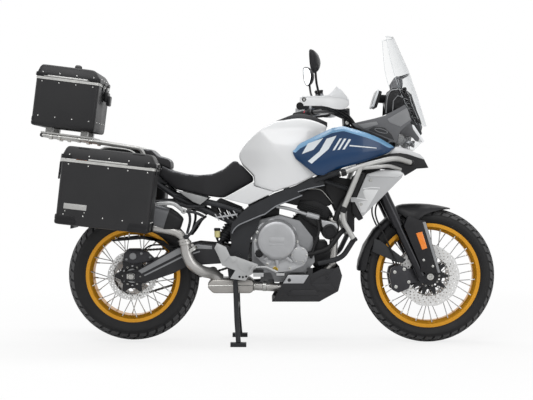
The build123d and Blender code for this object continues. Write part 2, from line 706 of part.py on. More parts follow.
with BuildPart() as side_panels:
    plate([(-205, 706), (-85, 678), (38, 737), (-60, 765), (-64, 785)], -130, -TANK_HALF)
    mirror(about=Plane.XZ)
side_panels.part.label = "side_panels"
export_step(side_panels.part, "parts/side_panels.step")

SEAT_HALF = 128
with BuildPart() as rider_seat:
    plate(
        [(-507, 866), (-463, 842), (-394, 823), (-326, 818), (-257, 825), (-206, 846), (-179, 870), (-158, 887), (-141, 884)]
        + [(-134, 870), (-120, 866), (-66, 812), (-64, 788), (-205, 709), (-233, 710), (-321, 723), (-439, 752), (-516, 814)],
        SEAT_HALF,
        -SEAT_HALF,
    )
    plan(mirrored([(-520, 118), (-400, SEAT_HALF), (-300, 120), (-180, 84), (-50, 66)]), 600, 1000, mode=Mode.INTERSECT)
    for side in (1, -1):
        bar([(-130, side * 132, 640), (-210, side * RAIL_Y, 668), (-447, side * RAIL_Y, 722), (-560, side * RAIL_Y, 800), (-880, side * RAIL_Y, 864)], RAIL_R + SEAT, 30, mode=Mode.SUBTRACT)
rider_seat.part.label = "rider_seat"
export_step(rider_seat.part, "parts/rider_seat.step")

with BuildPart() as pillion_seat:
    plate(
        [(-822, 905), (-800, 948), (-781, 957), (-555, 942), (-522, 910), (-474, 896), (-462, 880), (-462, 846), (-507, 868), (-620, 872)],
        132,
        -132,
    )
    plan(mirrored([(-830, 92), (-640, 132), (-520, 128), (-460, 104)]), 800, 1000, mode=Mode.INTERSECT)
pillion_seat.part.label = "pillion_seat"
export_step(pillion_seat.part, "parts/pillion_seat.step")

with BuildPart() as tail_fairing:
    plate([(-440, 740), (-500, 780), (-600, 800), (-860, 850), (-872, 905), (-826, 903), (-620, 870), (-512, 866), (-520, 816)], 98, -98)
    add(frame.part, mode=Mode.SUBTRACT)
tail_fairing.part.label = "tail_fairing"
export_step(tail_fairing.part, "parts/tail_fairing.step")

# ---------------------------------------------------------------- fairing and nose
FAIRING_Y = 150
PANEL_T = 5
BEAK_SEAM = [(588, 921), (640, 924), (676, 919), (766, 894)]
BEAK_OUTSIDE = [(450, 160), (600, 156), (700, 118), (770, 66), (802, 36)]
BEAK_INSIDE = [(440, 152), (596, 148), (690, 110), (740, 62)]
with BuildPart() as beak:
    plate(nose([(620, 955), (643, 953), (743, 919), (770, 894), *reversed(BEAK_SEAM)]), 160, -160)
    plan(mirrored(nose(BEAK_OUTSIDE)), 780, 1000, mode=Mode.INTERSECT)
    plan(mirrored(nose(BEAK_INSIDE)), 770, 1000, mode=Mode.SUBTRACT)
beak.part.label = "beak"
export_step(beak.part, "parts/beak.step")

with BuildPart() as lower_beak:
    plate(
        nose(
            [(454, 862), (454, 881), *BEAK_SEAM, (790, 854), (726, 849), (664, 814), (656, 834), (639, 844)]
            + [(572, 849), (521, 842), (478, 830)]
        ),
        160,
        -160,
    )
    plan(mirrored(nose(BEAK_OUTSIDE)), 780, 1000, mode=Mode.INTERSECT)
    plan(mirrored(nose(BEAK_INSIDE)), 770, 1000, mode=Mode.SUBTRACT)
lower_beak.part.label = "lower_beak"
export_step(lower_beak.part, "parts/lower_beak.step")

with BuildPart() as headlight:
    plate(nose([(618, 986), (640, 1016), (706, 1002), (722, 984), (757, 975), (716, 938), (643, 957), (622, 968)]), 96, -96)
    plan(mirrored(nose([(610, 96), (690, 88), (745, 52), (760, 30)])), 900, 1050, mode=Mode.INTERSECT)
    add(frame.part, mode=Mode.SUBTRACT)
headlight.part.label = "headlight"
export_step(headlight.part, "parts/headlight.step")

# height, x at the middle, half width, set-back of the side edges
SCREEN_STATIONS = [(1058, 785, 108, 58), (1201, 740, 168, 92), (1331, 695, 172, 92), (1491, 623, 96, 44)]
SCREEN_T = 4
with BuildPart() as windscreen:
    bands = []
    for z, x, half, setback in SCREEN_STATIONS:
        x += AXLE_SHIFT
        with BuildSketch(Plane.XY.offset(z)) as band:
            with BuildLine():
                ThreePointArc((x - setback, half), (x, 0), (x - setback, -half))
                Line((x - setback, -half), (x - setback - SCREEN_T, -half))
                ThreePointArc((x - setback - SCREEN_T, -half), (x - SCREEN_T, 0), (x - setback - SCREEN_T, half))
                Line((x - setback - SCREEN_T, half), (x - setback, half))
            make_face()
        bands.append(band.sketch)
    loft(sections=bands, ruled=True)
windscreen.part.label = "windscreen"
export_step(windscreen.part, "parts/windscreen.step")

with BuildPart() as fairing:
    side_outline = nose(
        [(410, 1065), (515, 1089), (567, 1103), (661, 1155), (694, 1078), (641, 1029), (617, 974), (484, 1031), (424, 1048)]
    )
    for side in (1, -1):
        low, high = sorted((side * FAIRING_Y, side * (FAIRING_Y + PANEL_T)))
        plate(side_outline, high, low)
    plate(nose([(575, 1172), (587, 1211), (607, 1236), (660, 1236), (704, 1211), (737, 1113), (757, 1050), (738, 982), (700, 996), (628, 1018)]), 62, -62)
    plate(nose([(592, 1050), (650, 1110), (668, 1090), (610, 1030)]), FAIRING_Y, -FAIRING_Y)
    plate(nose([(610, 975), (628, 975), (640, 1030), (610, 1035)]), FAIRING_Y, -FAIRING_Y)
    for y in (40, -40):
        plate(nose([(612, 1230), (606, 1262), (630, 1300), (660, 1298), (664, 1262), (660, 1230)]), y + 6, y - 6)
        plate(nose([(640, 1298), (694, 1314), (696, 1306), (650, 1282)]), y + 6, y - 6)
    add(headlight.part, mode=Mode.SUBTRACT)
    add(windscreen.part, mode=Mode.SUBTRACT)
    add(frame.part, mode=Mode.SUBTRACT)
fairing.part.label = "fairing"
export_step(fairing.part, "parts/fairing.step")

with BuildPart() as dashboard:
    plate(nose([(545, 1229), (560, 1222), (534, 1145), (519, 1150)]), 84, -84)
    plate(nose([(534, 1175), (548, 1213), (587, 1211), (575, 1172)]), 20, -20)
    add(fairing.part, mode=Mode.SUBTRACT)
dashboard.part.label = "dashboard"
export_step(dashboard.part, "parts/dashboard.step")

SHROUD_OUTLINE = [
    (124, 937),
    (160, 970),
    (242, 1010),
    (310, 1042),
    (363, 1051),
    (477, 1019),
    (535, 997),
    (599, 963),
    (612, 951),
    (581, 922),
    (449, 875),
    (310, 838),
    (269, 816),
    (233, 818),
    (161, 876),
    (128, 904),
]
SHROUD_OUTSIDE = [(118, -160), (160, -194), (230, -226), (330, -243), (450, -238), (540, -206), (615, -164)]
SHROUD_INSIDE = [(615, -157), (540, -199), (450, -231), (330, -236), (230, -219), (160, -187), (124, -158)]
with BuildPart() as shrouds:
    plate(nose(SHROUD_OUTLINE), -150, -250)
    outside = nose(SHROUD_OUTSIDE)
    inside = nose(SHROUD_INSIDE)
    extrude(
        to_extrude=curved(Plane.XY.offset(800), outside, (outside[-1], inside[0]), inside, (inside[-1], outside[0])),
        amount=300,
        mode=Mode.INTERSECT,
    )
    block((200, -212, 925), (220, -TANK_HALF, 945))
    block((272, -238, 880), (288, -150, 900))
    mirror(about=Plane.XZ)
    add(fuel_tank.part, mode=Mode.SUBTRACT)
shrouds.part.label = "shrouds"
export_step(shrouds.part, "parts/shrouds.step")

with BuildPart() as radiator_covers:
    plate(
        nose([(453, 766), (478, 823), (538, 841), (568, 844), (635, 839), (652, 826), (644, 807), (457, 620), (421, 688)]),
        -186,
        -192,
        4,
    )
    block(*nose([(402, -192, 690), (440, -148, 712)]))
    mirror(about=Plane.XZ)
radiator_covers.part.label = "radiator_covers"
export_step(radiator_covers.part, "parts/radiator_covers.step")

# ---------------------------------------------------------------- crash bars and rack
GUARD_R = 12.5
GUARD_Y = -250
with BuildPart() as crash_bars:
    bar(nose([(342, GUARD_Y, 823), (448, GUARD_Y, 861), (610, -205, 901), (700, -128, 876)]), GUARD_R, 60)
    bar(nose([(440, GUARD_Y + 4, 851), (533, -242, 858), (579, -218, 863), (640, -158, 846)]), 9, 30)
    bar(
        nose([(443, GUARD_Y, 855), (358, GUARD_Y, 650), (362, GUARD_Y, 600), (412, -240, 514), (360, -170, 420), (250, -138, 395)]),
        GUARD_R,
        30,
    )
    bar(nose([(362, GUARD_Y, 836), (290, -200, 815), (228, -158, 788)]), GUARD_R, 30)
    mirror(about=Plane.XZ)
    add(beak.part, mode=Mode.SUBTRACT)
    add(lower_beak.part, mode=Mode.SUBTRACT)
    add(radiator_covers.part, mode=Mode.SUBTRACT)
    add(frame.part, mode=Mode.SUBTRACT)
    add(engine_case.part, mode=Mode.SUBTRACT)
crash_bars.part.label = "crash_bars"
export_step(crash_bars.part, "parts/crash_bars.step")

# ---------------------------------------------------------------- fork and steering
SLEEVE_END = 285  # height along the leg where the outer tube ends
LEG_TOP = 815
with BuildPart() as triple_clamps:
    for low, high, reach in ((*LOWER_CLAMP, 48), (*UPPER_CLAMP, 40)):
        with BuildSketch(Plane(origin=on_steering(low), x_dir=(0, 1, 0), z_dir=STEER_UP)) as yoke:
            with Locations((LEG_Y, -LEG_FWD), (-LEG_Y, -LEG_FWD)):
                Circle(OUTER_TUBE_R + 11)
            with Locations((0, -LEG_FWD / 2)):
                Rectangle(2 * LEG_Y, 2 * reach - 20)
            with Locations((LEG_Y, -LEG_FWD), (-LEG_Y, -LEG_FWD)):
                Circle(OUTER_TUBE_R + SEAT, mode=Mode.SUBTRACT)
        extrude(to_extrude=yoke.sketch, amount=high - low)
    post(LOWER_CLAMP[0], UPPER_CLAMP[1], 0, 0, STEM_R)
triple_clamps.part.label = "triple_clamps"
export_step(triple_clamps.part, "parts/triple_clamps.step")

LUG_HALF = 17
LUG_Y = 97
with BuildPart() as fork_legs:
    for side in (1, -1):
        y = side * LEG_Y
        post(SLEEVE_END, LEG_TOP, LEG_FWD, y, OUTER_TUBE_R)
        post(20, SLEEVE_END, LEG_FWD, y, INNER_TUBE_R)
        with BuildSketch(side_plane(side * LUG_Y + LUG_HALF)) as lug:
            foot = on_steering(-6, LEG_FWD)
            top = on_steering(70, LEG_FWD)
            with Locations((FRONT_AXLE_X, FRONT_AXLE_Z)):
                Circle(24)
            with BuildLine():
                Polyline(
                    (FRONT_AXLE_X + 14, FRONT_AXLE_Z + 20),
                    (top.X + 22, top.Z + 10),
                    (top.X - 22, top.Z - 10),
                    (foot.X - 18, foot.Z - 12),
                    (FRONT_AXLE_X - 4, FRONT_AXLE_Z - 24),
                    close=True,
                )
            make_face()
        extrude(to_extrude=lug.sketch, amount=2 * LUG_HALF)
    drum(FRONT_AXLE_X, FRONT_AXLE_Z, LUG_Y + LUG_HALF + 6, -LUG_Y - LUG_HALF - 6, AXLE_R)
    for side in (1, -1):
        low, high = sorted((side * (FRONT_HUB_HALF + 0.5), side * (LUG_Y - LUG_HALF)))
        drum(FRONT_AXLE_X, FRONT_AXLE_Z, high, low, 16)
    drum(FRONT_AXLE_X, FRONT_AXLE_Z, 200, -200, 6.5, mode=Mode.SUBTRACT)
fork_legs.part.label = "fork_legs"
export_step(fork_legs.part, "parts/fork_legs.step")

with BuildPart() as front_calipers:
    caliper_outline = with_fork(
        [(598, 330), (610, 262), (640, 247), (690, 268), (702, 300), (680, 372), (640, 382), (606, 366)]
    )
    plate(caliper_outline, -FRONT_DISC_Y + 16, -FRONT_DISC_Y - 17, 8)
    drum(FRONT_AXLE_X, FRONT_AXLE_Z, -FRONT_DISC_Y + 7.5, -FRONT_DISC_Y - 7.5, 157, mode=Mode.SUBTRACT)
    plate(with_fork([(682, 290), (742, 300), (742, 360), (676, 366)]), -FRONT_DISC_Y - 9, -FRONT_DISC_Y - 17)
    mirror(about=Plane.XZ)
    add(fork_legs.part, mode=Mode.SUBTRACT)
front_calipers.part.label = "front_calipers"
export_step(front_calipers.part, "parts/front_calipers.step")

with BuildPart() as fork_covers:
    plate(with_fork([(681, 620), (661, 574), (739, 390), (745, 352), (838, 346), (765, 597), (739, 602)]), -82, -132)
    post(60, SLEEVE_END + 40, LEG_FWD, -LEG_Y, OUTER_TUBE_R + SEAT, mode=Mode.SUBTRACT)
    mirror(about=Plane.XZ)
    add(fork_legs.part, mode=Mode.SUBTRACT)
fork_covers.part.label = "fork_covers"
export_step(fork_covers.part, "parts/fork_covers.step")

FENDER_HALF = 68
FENDER_R = 349
FENDER_T = 3


def fender_arc(start, end, side_depth):
    """A channel that wraps over the front tyre between two angles above the horizontal."""
    begin = radians(start)
    ahead = (cos(begin), 0, sin(begin))
    with BuildSketch(Plane(origin=(FRONT_AXLE_X, 0, FRONT_AXLE_Z), x_dir=(0, 1, 0), z_dir=Vector(ahead).cross(Vector(0, 1, 0)) * -1)) as hoop:
        outline = [
            (FENDER_HALF, FENDER_R - side_depth),
            (FENDER_HALF, FENDER_R - 10),
            (FENDER_HALF - 22, FENDER_R),
        ]
        inner = [
            (FENDER_HALF - 22, FENDER_R - FENDER_T),
            (FENDER_HALF - FENDER_T, FENDER_R - 10 - FENDER_T),
            (FENDER_HALF - FENDER_T, FENDER_R - side_depth),
        ]
        y_dir = hoop.workplanes[0].y_dir
        flip = 1 if y_dir.dot(Vector(ahead)) > 0 else -1
        Polygon(
            *[(y, flip * r) for y, r in outline],
            *[(-y, flip * r) for y, r in reversed(outline)],
            *[(-y, flip * r) for y, r in reversed(inner)],
            *[(y, flip * r) for y, r in inner],
            align=None,
        )
    axle = Axis((FRONT_AXLE_X, 0, FRONT_AXLE_Z), (0, -1, 0))
    revolve(profiles=hoop.sketch, axis=axle, revolution_arc=end - start)


with BuildPart() as front_fender:
    fender_arc(71, 116, 26)
    fender_arc(116, 175, 14)
    for side in (1, -1):
        low, high = sorted((side * FENDER_HALF, side * LEG_Y))
        plate(with_fork([(612, 570), (668, 590), (690, 655), (650, 655), (612, 610)]), high, low)
    add(fork_legs.part, mode=Mode.SUBTRACT)
front_fender.part.label = "front_fender"
export_step(front_fender.part, "parts/front_fender.step")

BAR_R = 11
GRIP_R = 16
BAR_POINTS = with_fork([(152, 424, 1132), (240, 265, 1144), (318, 140, 1142), (386, 70, 1128)])
with BuildPart() as handlebar:
    left_half = [(x, y, z) for x, y, z in BAR_POINTS]
    right_half = [(x, -y, z) for x, y, z in reversed(BAR_POINTS)]
    bar(left_half + right_half, BAR_R, 36)
    for side in (1, -1):
        plate(with_fork([(378, 1030), (408, 1030), (404, 1142), (370, 1142)]), side * 40 + 16, side * 40 - 16)
    add(triple_clamps.part, mode=Mode.SUBTRACT)
handlebar.part.label = "handlebar"
export_step(handlebar.part, "parts/handlebar.step")

GRIP_END = Vector(*BAR_POINTS[0])
GRIP_DIR = (Vector(*BAR_POINTS[1]) - GRIP_END).normalized()
with BuildPart() as bar_controls:
    for side in (1, -1):
        outer = Vector(GRIP_END.X, side * GRIP_END.Y, GRIP_END.Z)
        inward = Vector(GRIP_DIR.X, side * GRIP_DIR.Y, GRIP_DIR.Z)
        bar([outer + inward * 2, outer + inward * 122], GRIP_R)
        bar([outer + inward * 122, outer + inward * 166], 21)
        knuckle = outer + inward * 150
        bar([knuckle, knuckle + Vector(34, 0, -4)], 9)
        tip = outer + inward * 8 + Vector(46, 0, -8)
        bar([knuckle + Vector(30, 0, -4), knuckle + Vector(44, side * 22, -6), tip], 6, 12)
    add(handlebar.part, mode=Mode.SUBTRACT)
bar_controls.part.label = "bar_controls"
export_step(bar_controls.part, "parts/bar_controls.step")

with BuildPart() as hand_guards:
    plan(
        with_fork([(150, -428), (150, -436), (260, -428), (336, -398), (388, -336), (382, -332), (331, -391), (257, -421)]),
        1112,
        1232,
    )
    plate(
        with_fork(
            [(146, 1145), (162, 1179), (243, 1177), (296, 1183), (309, 1202), (323, 1229), (359, 1200), (384, 1166)]
            + [(380, 1138), (352, 1118), (305, 1122), (241, 1136), (163, 1134)]
        ),
        -300,
        -460,
        mode=Mode.INTERSECT,
    )
    plan(with_fork([(152, -422), (152, -430), (168, -428), (168, -420)]), 1120, 1160)
    bar(with_fork([(332, -397, 1150), (300, -300, 1150), (266, -222, 1144)]), 6, 20)
    mirror(about=Plane.XZ)
    add(handlebar.part, mode=Mode.SUBTRACT)
    add(bar_controls.part, mode=Mode.SUBTRACT)
hand_guards.part.label = "hand_guards"
export_step(hand_guards.part, "parts/hand_guards.step")

MIRROR_Y = -395
MIRROR_HALF = 70
MIRROR_SIDE = [(194, 1387), (200, 1389), (237, 1360), (245, 1339), (239, 1314), (232, 1296), (218, 1285), (207, 1287), (200, 1319)]
with BuildPart() as mirrors:
    plate(with_fork(MIRROR_SIDE), MIRROR_Y + MIRROR_HALF, MIRROR_Y - MIRROR_HALF)
    with BuildSketch(Plane(origin=(180 + AXLE_SHIFT, MIRROR_Y, 1337), x_dir=(0, 1, 0), z_dir=(1, 0, 0))) as glass:
        Ellipse(MIRROR_HALF, 52)
    extrude(to_extrude=glass.sketch, amount=90, mode=Mode.INTERSECT)
    bulge = [(190, -MIRROR_HALF), (216, -MIRROR_HALF), (236, -46), (246, -18), (246, 18), (236, 46), (216, MIRROR_HALF), (190, MIRROR_HALF)]
    plan(with_fork([(x, MIRROR_Y + y) for x, y in bulge]), 1200, 1400, mode=Mode.INTERSECT)
    bar(with_fork([(256, -240, 1144), (252, -262, 1172), (230, -366, 1232), (222, -394, 1318)]), 5.5, 20)
    mirror(about=Plane.XZ)
    add(handlebar.part, mode=Mode.SUBTRACT)
    add(bar_controls.part, mode=Mode.SUBTRACT)
    add(hand_guards.part, mode=Mode.SUBTRACT)
mirrors.part.label = "mirrors"
export_step(mirrors.part, "parts/mirrors.step")

# ---------------------------------------------------------------- stands
STAND_LEG_Y = 163
STAND_TUBE_R = 12
STAND_PIN_R = 8
STAND_FOOT_X = -134
CROSSBAR_R = 10
CROSSBAR_REACH = 165
with BuildPart() as centre_stand:
    bar([(STAND_X, -STAND_LEG_Y, STAND_Z), (STAND_X + 8, -STAND_LEG_Y, 120), (STAND_FOOT_X, -186, 20)], STAND_TUBE_R, 60)
    drum(STAND_X, STAND_Z, -PLATE_OUT - 2, -STAND_LEG_Y - STAND_TUBE_R, 16)
    drum(STAND_X, STAND_Z, -PLATE_IN + 6, -STAND_LEG_Y, STAND_PIN_R)
    block((STAND_FOOT_X - 38, -204, 0), (STAND_FOOT_X + 38, -168, 20))
    mirror(about=Plane.XZ)
    height = STAND_Z - CROSSBAR_REACH
    bar([(STAND_X + 6, -STAND_LEG_Y, height), (STAND_X + 6, STAND_LEG_Y, height)], CROSSBAR_R)
centre_stand.part.label = "centre_stand"
export_step(centre_stand.part, "parts/centre_stand.step")

SIDE_STAND_LENGTH = 270
with BuildPart() as side_stand:
    bar(
        [(SIDE_STAND_X - 4, SIDE_STAND_Y, SIDE_STAND_Z), (SIDE_STAND_X - SIDE_STAND_LENGTH, SIDE_STAND_Y + 12, SIDE_STAND_Z - 16)],
        11,
    )
    drum(SIDE_STAND_X, SIDE_STAND_Z, SIDE_STAND_Y + 10, SIDE_STAND_Y - 10, 18)
    foot_x = SIDE_STAND_X - SIDE_STAND_LENGTH
    plate(
        [(foot_x - 6, SIDE_STAND_Z - 44), (foot_x, SIDE_STAND_Z - 44), (foot_x + 4, SIDE_STAND_Z + 10), (foot_x - 2, SIDE_STAND_Z + 10)],
        SIDE_STAND_Y + 40,
        SIDE_STAND_Y + 6,
    )
    drum(SIDE_STAND_X, SIDE_STAND_Z, SIDE_STAND_Y + 20, SIDE_STAND_Y - 20, 8 + RUNNING_FIT, mode=Mode.SUBTRACT)
side_stand.part.label = "side_stand"
export_step(side_stand.part, "parts/side_stand.step")

# ---------------------------------------------------------------- footrests and controls
FOOT_Y = 206
FOOT_T = 8
with BuildPart() as footrests:
    plate(
        [(-235, 496), (-192, 477), (-172, 433), (-148, 433), (-42, 395), (-37, 371), (-85, 337), (-100, 317), (-172, 327)]
        + [(-148, 366), (-211, 390), (-226, 429), (-247, 472)],
        -FOOT_Y,
        -FOOT_Y - FOOT_T,
    )
    drum(-158, 416, -PLATE_OUT, -FOOT_Y, 12)
    drum(-59, 373, -CASE_Y, -FOOT_Y, 12)
    block((-62, -FOOT_Y - FOOT_T - 100, 344), (-14, -FOOT_Y - FOOT_T, 362))
    bar([(-59, -FOOT_Y - FOOT_T - 8, 380), (0, -FOOT_Y - FOOT_T - 10, 382), (66, -FOOT_Y - FOOT_T - 22, 352)], 6, 20)
    block((46, -FOOT_Y - FOOT_T - 66, 346), (84, -FOOT_Y - FOOT_T - 16, 358))
    drum(-59, 380, -FOOT_Y - FOOT_T, -FOOT_Y - FOOT_T - 16, 10)
    mirror(about=Plane.XZ)
    add(engine_covers.part, mode=Mode.SUBTRACT)
    add(engine_case.part, mode=Mode.SUBTRACT)
    add(frame.part, mode=Mode.SUBTRACT)
footrests.part.label = "footrests"
export_step(footrests.part, "parts/footrests.step")

# ---------------------------------------------------------------- rear guard and lamps
with BuildPart() as rear_mudguard:
    plate([(-858, 850), (-872, 850), (-930, 730), (-950, 560), (-940, 560), (-918, 726), (-862, 842)], 96, -96)
    plate([(-872, 850), (-858, 850), (-640, 806), (-640, 800)], 60, -60)
    add(tail_fairing.part, mode=Mode.SUBTRACT)
    add(frame.part, mode=Mode.SUBTRACT)
rear_mudguard.part.label = "rear_mudguard"
export_step(rear_mudguard.part, "parts/rear_mudguard.step")

# ---------------------------------------------------------------- luggage
CASE_WALL = 2.5
LID_GAP = 0.5
HINGE_OUT = 6
HINGE_PIN_R = 3
HINGE_SLEEVE_R = 5.5


def case_plane(corner_x, corner_z, tilt, y):
    """Side plane that leans with a case: x runs forward along its floor, y runs up its walls."""
    lean = radians(tilt)
    return Plane(origin=(corner_x, y, corner_z), x_dir=(cos(lean), 0, -sin(lean)), z_dir=(0, -1, 0))


def case_slab(base, outline, width, mode=Mode.ADD):
    """A side outline in a case's own plane, carried across its width."""
    with BuildSketch(base) as profile:
        Polygon(*outline, align=None)
    extrude(to_extrude=profile.sketch, amount=width, mode=mode)


# name, floor's rear corner x, z, forward tilt, left y, width, length, body height, lid height,
# rear and front slopes of the lid, bottom rear chamfer
CASES = [
    ("top_case", -1125, 1059, 7.1, 200, 400, 309, 236, 58, 8, 44, 12),
    ("right_pannier", -965, 597, 6.4, -245, 225, 434, 300, 60, 24, 28, 18),
    ("left_pannier", -965, 597, 6.4, 470, 225, 434, 300, 60, 24, 28, 18),
]
case_bodies = {}
for name, x, z, tilt, y_left, width, length, height, lid_height, rear_slope, front_slope, chamfer_low in CASES:
    base = case_plane(x, z, tilt, y_left)
    middle = y_left - width / 2
    hinge = base.from_local_coords(Vector(length + HINGE_OUT, height, 0))

    with BuildPart() as body:
        case_slab(
            base,
            [(0, chamfer_low * 2), (chamfer_low, 0), (length, 0), (length, height), (0, height)],
            width,
        )
        case_slab(
            base.offset(CASE_WALL),
            [
                (CASE_WALL, chamfer_low * 2 + 1),
                (chamfer_low + 1, CASE_WALL),
                (length - CASE_WALL, CASE_WALL),
                (length - CASE_WALL, height + 1),
                (CASE_WALL, height + 1),
            ],
            width - 2 * CASE_WALL,
            mode=Mode.SUBTRACT,
        )
        for offset in (-60, 60):
            pin_y = middle + offset
            drum(hinge.X, hinge.Z, pin_y + 22, pin_y - 22, HINGE_PIN_R)
            for end in (22, -14):
                case_slab(
                    case_plane(x, z, tilt, pin_y + end),
                    [(length, height - 14), (length + 10, height - 6), (length + 10, height + 4), (length, height)],
                    8,
                )
    body.part.label = name
    export_step(body.part, f"parts/{name}.step")
    case_bodies[name] = body.part

    with BuildPart() as lid:
        low = height + LID_GAP
        high = height + lid_height
        case_slab(
            base,
            [(0, low), (length, low), (length, low + 14), (length - front_slope, high), (rear_slope, high), (0, low + 14)],
            width,
        )
        case_slab(
            base.offset(CASE_WALL),
            [
                (CASE_WALL, low - 1),
                (length - CASE_WALL, low - 1),
                (length - CASE_WALL, low + 13),
                (length - front_slope - 1, high - CASE_WALL),
                (rear_slope + 1, high - CASE_WALL),
                (CASE_WALL, low + 13),
            ],
            width - 2 * CASE_WALL,
            mode=Mode.SUBTRACT,
        )
        for offset in (-60, 60):
            pin_y = middle + offset
            drum(hinge.X, hinge.Z, pin_y + 13, pin_y - 13, HINGE_SLEEVE_R)
            case_slab(
                case_plane(x, z, tilt, pin_y + 13),
                [(length, low), (length + HINGE_OUT, low), (length + HINGE_OUT, low + 8), (length, low + 12)],
                26,
            )
            drum(hinge.X, hinge.Z, pin_y + 14, pin_y - 14, HINGE_PIN_R + RUNNING_FIT, mode=Mode.SUBTRACT)
    lid.part.label = f"{name}_lid"
    export_step(lid.part, f"parts/{name}_lid.step")

top_base = case_plane(CASES[0][1], CASES[0][2], CASES[0][3], 160)
RACK_Y = 150
RACK_R = 10
with BuildPart() as rear_rack:
    bar([(-1073, -RACK_Y, 1011), (-811, -RACK_Y, 978), (-603, -RACK_Y, 945), (-560, -122, 860), (-560, -122, 812)], RACK_R, 24)
    mirror(about=Plane.XZ)
    bar([(-1073, -RACK_Y, 1011), (-1073, RACK_Y, 1011)], RACK_R)
    for x, z in ((-1000, 1001.8), (-850, 982.9)):
        bar([(x, -RACK_Y, z), (x, RACK_Y, z)], RACK_R - 2)
    for side in (1, -1):
        bar([(-850, side * RAIL_Y, 982.9), (-850, side * RAIL_Y, 862)], RACK_R - 2)
    case_slab(top_base, [(50, -31.5), (290, -31.5), (290, -24), (50, -24)], 320)
    for along, across in ((80, 40), (80, 240), (250, 40), (250, 240)):
        case_slab(
            case_plane(CASES[0][1], CASES[0][2], CASES[0][3], 160 - across),
            [(along - 16, -24), (along + 16, -24), (along + 16, 0), (along - 16, 0)],
            40,
        )
    add(frame.part, mode=Mode.SUBTRACT)
    add(pillion_seat.part, mode=Mode.SUBTRACT)
rear_rack.part.label = "rear_rack"
export_step(rear_rack.part, "parts/rear_rack.step")

CARRIER_Y = 235
CARRIER_R = 8
with BuildPart() as pannier_carriers:
    corners = [(-560, 830), (-880, 866), (-905, 640), (-585, 604)]
    loop = [(x, -CARRIER_Y, z) for x, z in corners]
    start = (-570, -CARRIER_Y, 740)
    bar([start, loop[0], loop[1], loop[2], loop[3], start], CARRIER_R, 30)
    bar([(-600, -CARRIER_Y + 4, 832), (-600, -RAIL_Y, 812)], CARRIER_R)
    bar([(-850, -CARRIER_Y + 4, 862), (-850, -RAIL_Y, 862)], CARRIER_R)
    bar([(-586, -CARRIER_Y, 610), (-536, -232, 693), (-458, -210, 693), (-386, -150, 668), (-300, -RAIL_Y, 668)], CARRIER_R, 24)
    add(frame.part, mode=Mode.SUBTRACT)
    add(rear_rack.part, mode=Mode.SUBTRACT)
    add(silencer.part, mode=Mode.SUBTRACT)
    for x, z in ((-600, 830), (-850, 856), (-870, 646), (-620, 612)):
        drum(x, z, -CARRIER_Y, -245, 12)
    add(case_bodies["right_pannier"], mode=Mode.SUBTRACT)
    mirror(about=Plane.XZ)
pannier_carriers.part.label = "pannier_carriers"
export_step(pannier_carriers.part, "parts/pannier_carriers.step")

with BuildPart() as signal_lamps:
    block((-900, -60, 862), (-870, 60, 900))
    for side in (1, -1):
        low, high = sorted((side * 60, side * 165))
        bar([(-884, low, 880), (-884, high, 880)], 6)
        low, high = sorted((side * 155, side * 215))
        block((-902, low, 864), (-868, high, 896))
    add(tail_fairing.part, mode=Mode.SUBTRACT)
    add(rear_rack.part, mode=Mode.SUBTRACT)
    add(frame.part, mode=Mode.SUBTRACT)
    add(rear_mudguard.part, mode=Mode.SUBTRACT)
signal_lamps.part.label = "signal_lamps"
export_step(signal_lamps.part, "parts/signal_lamps.step")
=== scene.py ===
"""Adventure motorcycle on its centre stand, with wire wheels and three black aluminium cases.

Every length is in metres, in the frame of the machine: +X forward, +Y to the rider's left, +Z up.
The sections follow the machine as it is put together, from the wheels to the luggage.
"""

from math import acos, atan2, cos, hypot, pi, radians, sin

import bmesh
import bpy
from mathutils import Matrix, Vector


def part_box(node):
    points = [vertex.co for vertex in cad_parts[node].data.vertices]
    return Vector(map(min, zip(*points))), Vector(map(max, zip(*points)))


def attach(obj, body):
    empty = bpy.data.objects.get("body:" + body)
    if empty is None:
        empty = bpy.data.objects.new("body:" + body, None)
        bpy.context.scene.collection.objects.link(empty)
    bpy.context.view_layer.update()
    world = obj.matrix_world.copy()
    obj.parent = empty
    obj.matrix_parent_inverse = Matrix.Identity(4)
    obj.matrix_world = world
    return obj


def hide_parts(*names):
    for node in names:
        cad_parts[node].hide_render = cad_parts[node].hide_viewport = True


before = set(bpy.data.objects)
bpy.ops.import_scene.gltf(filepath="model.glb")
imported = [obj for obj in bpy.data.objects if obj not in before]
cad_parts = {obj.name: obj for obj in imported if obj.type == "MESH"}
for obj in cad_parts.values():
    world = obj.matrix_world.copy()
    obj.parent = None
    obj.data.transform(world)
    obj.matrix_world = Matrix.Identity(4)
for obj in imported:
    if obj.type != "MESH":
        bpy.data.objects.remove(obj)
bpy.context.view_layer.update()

# ---------------------------------------------------------------- studio
# A studio table: a pale sweep of paper, broad soft boxes over the machine's right side and
# above it, and a weaker one behind. The camera stands level with the engine, six metres away.
CAMERA_PLACE = (0.0, -6.0, 0.795)
CAMERA_PITCH = radians(0.94)
LENS_MM = 82.5

camera_data = bpy.data.cameras.new("camera")
camera_data.lens = LENS_MM
camera_data.sensor_width = 36
camera = bpy.data.objects.new("camera", camera_data)
camera.location = CAMERA_PLACE
camera.rotation_euler = (pi / 2 - CAMERA_PITCH, 0, 0)
bpy.context.collection.objects.link(camera)
bpy.context.scene.camera = camera
bpy.context.scene.view_settings.view_transform = "Standard"


def put(tree, kind, links=None, values=None, **properties):
    """Adds one shader node with its properties, its unlinked inputs' values and its links."""
    node = tree.nodes.new(kind)
    for name, value in properties.items():
        setattr(node, name, value)
    for socket, value in (values or {}).items():
        node.inputs[socket].default_value = value
    for socket, source in (links or {}).items():
        tree.links.new(source, node.inputs[socket])
    return node


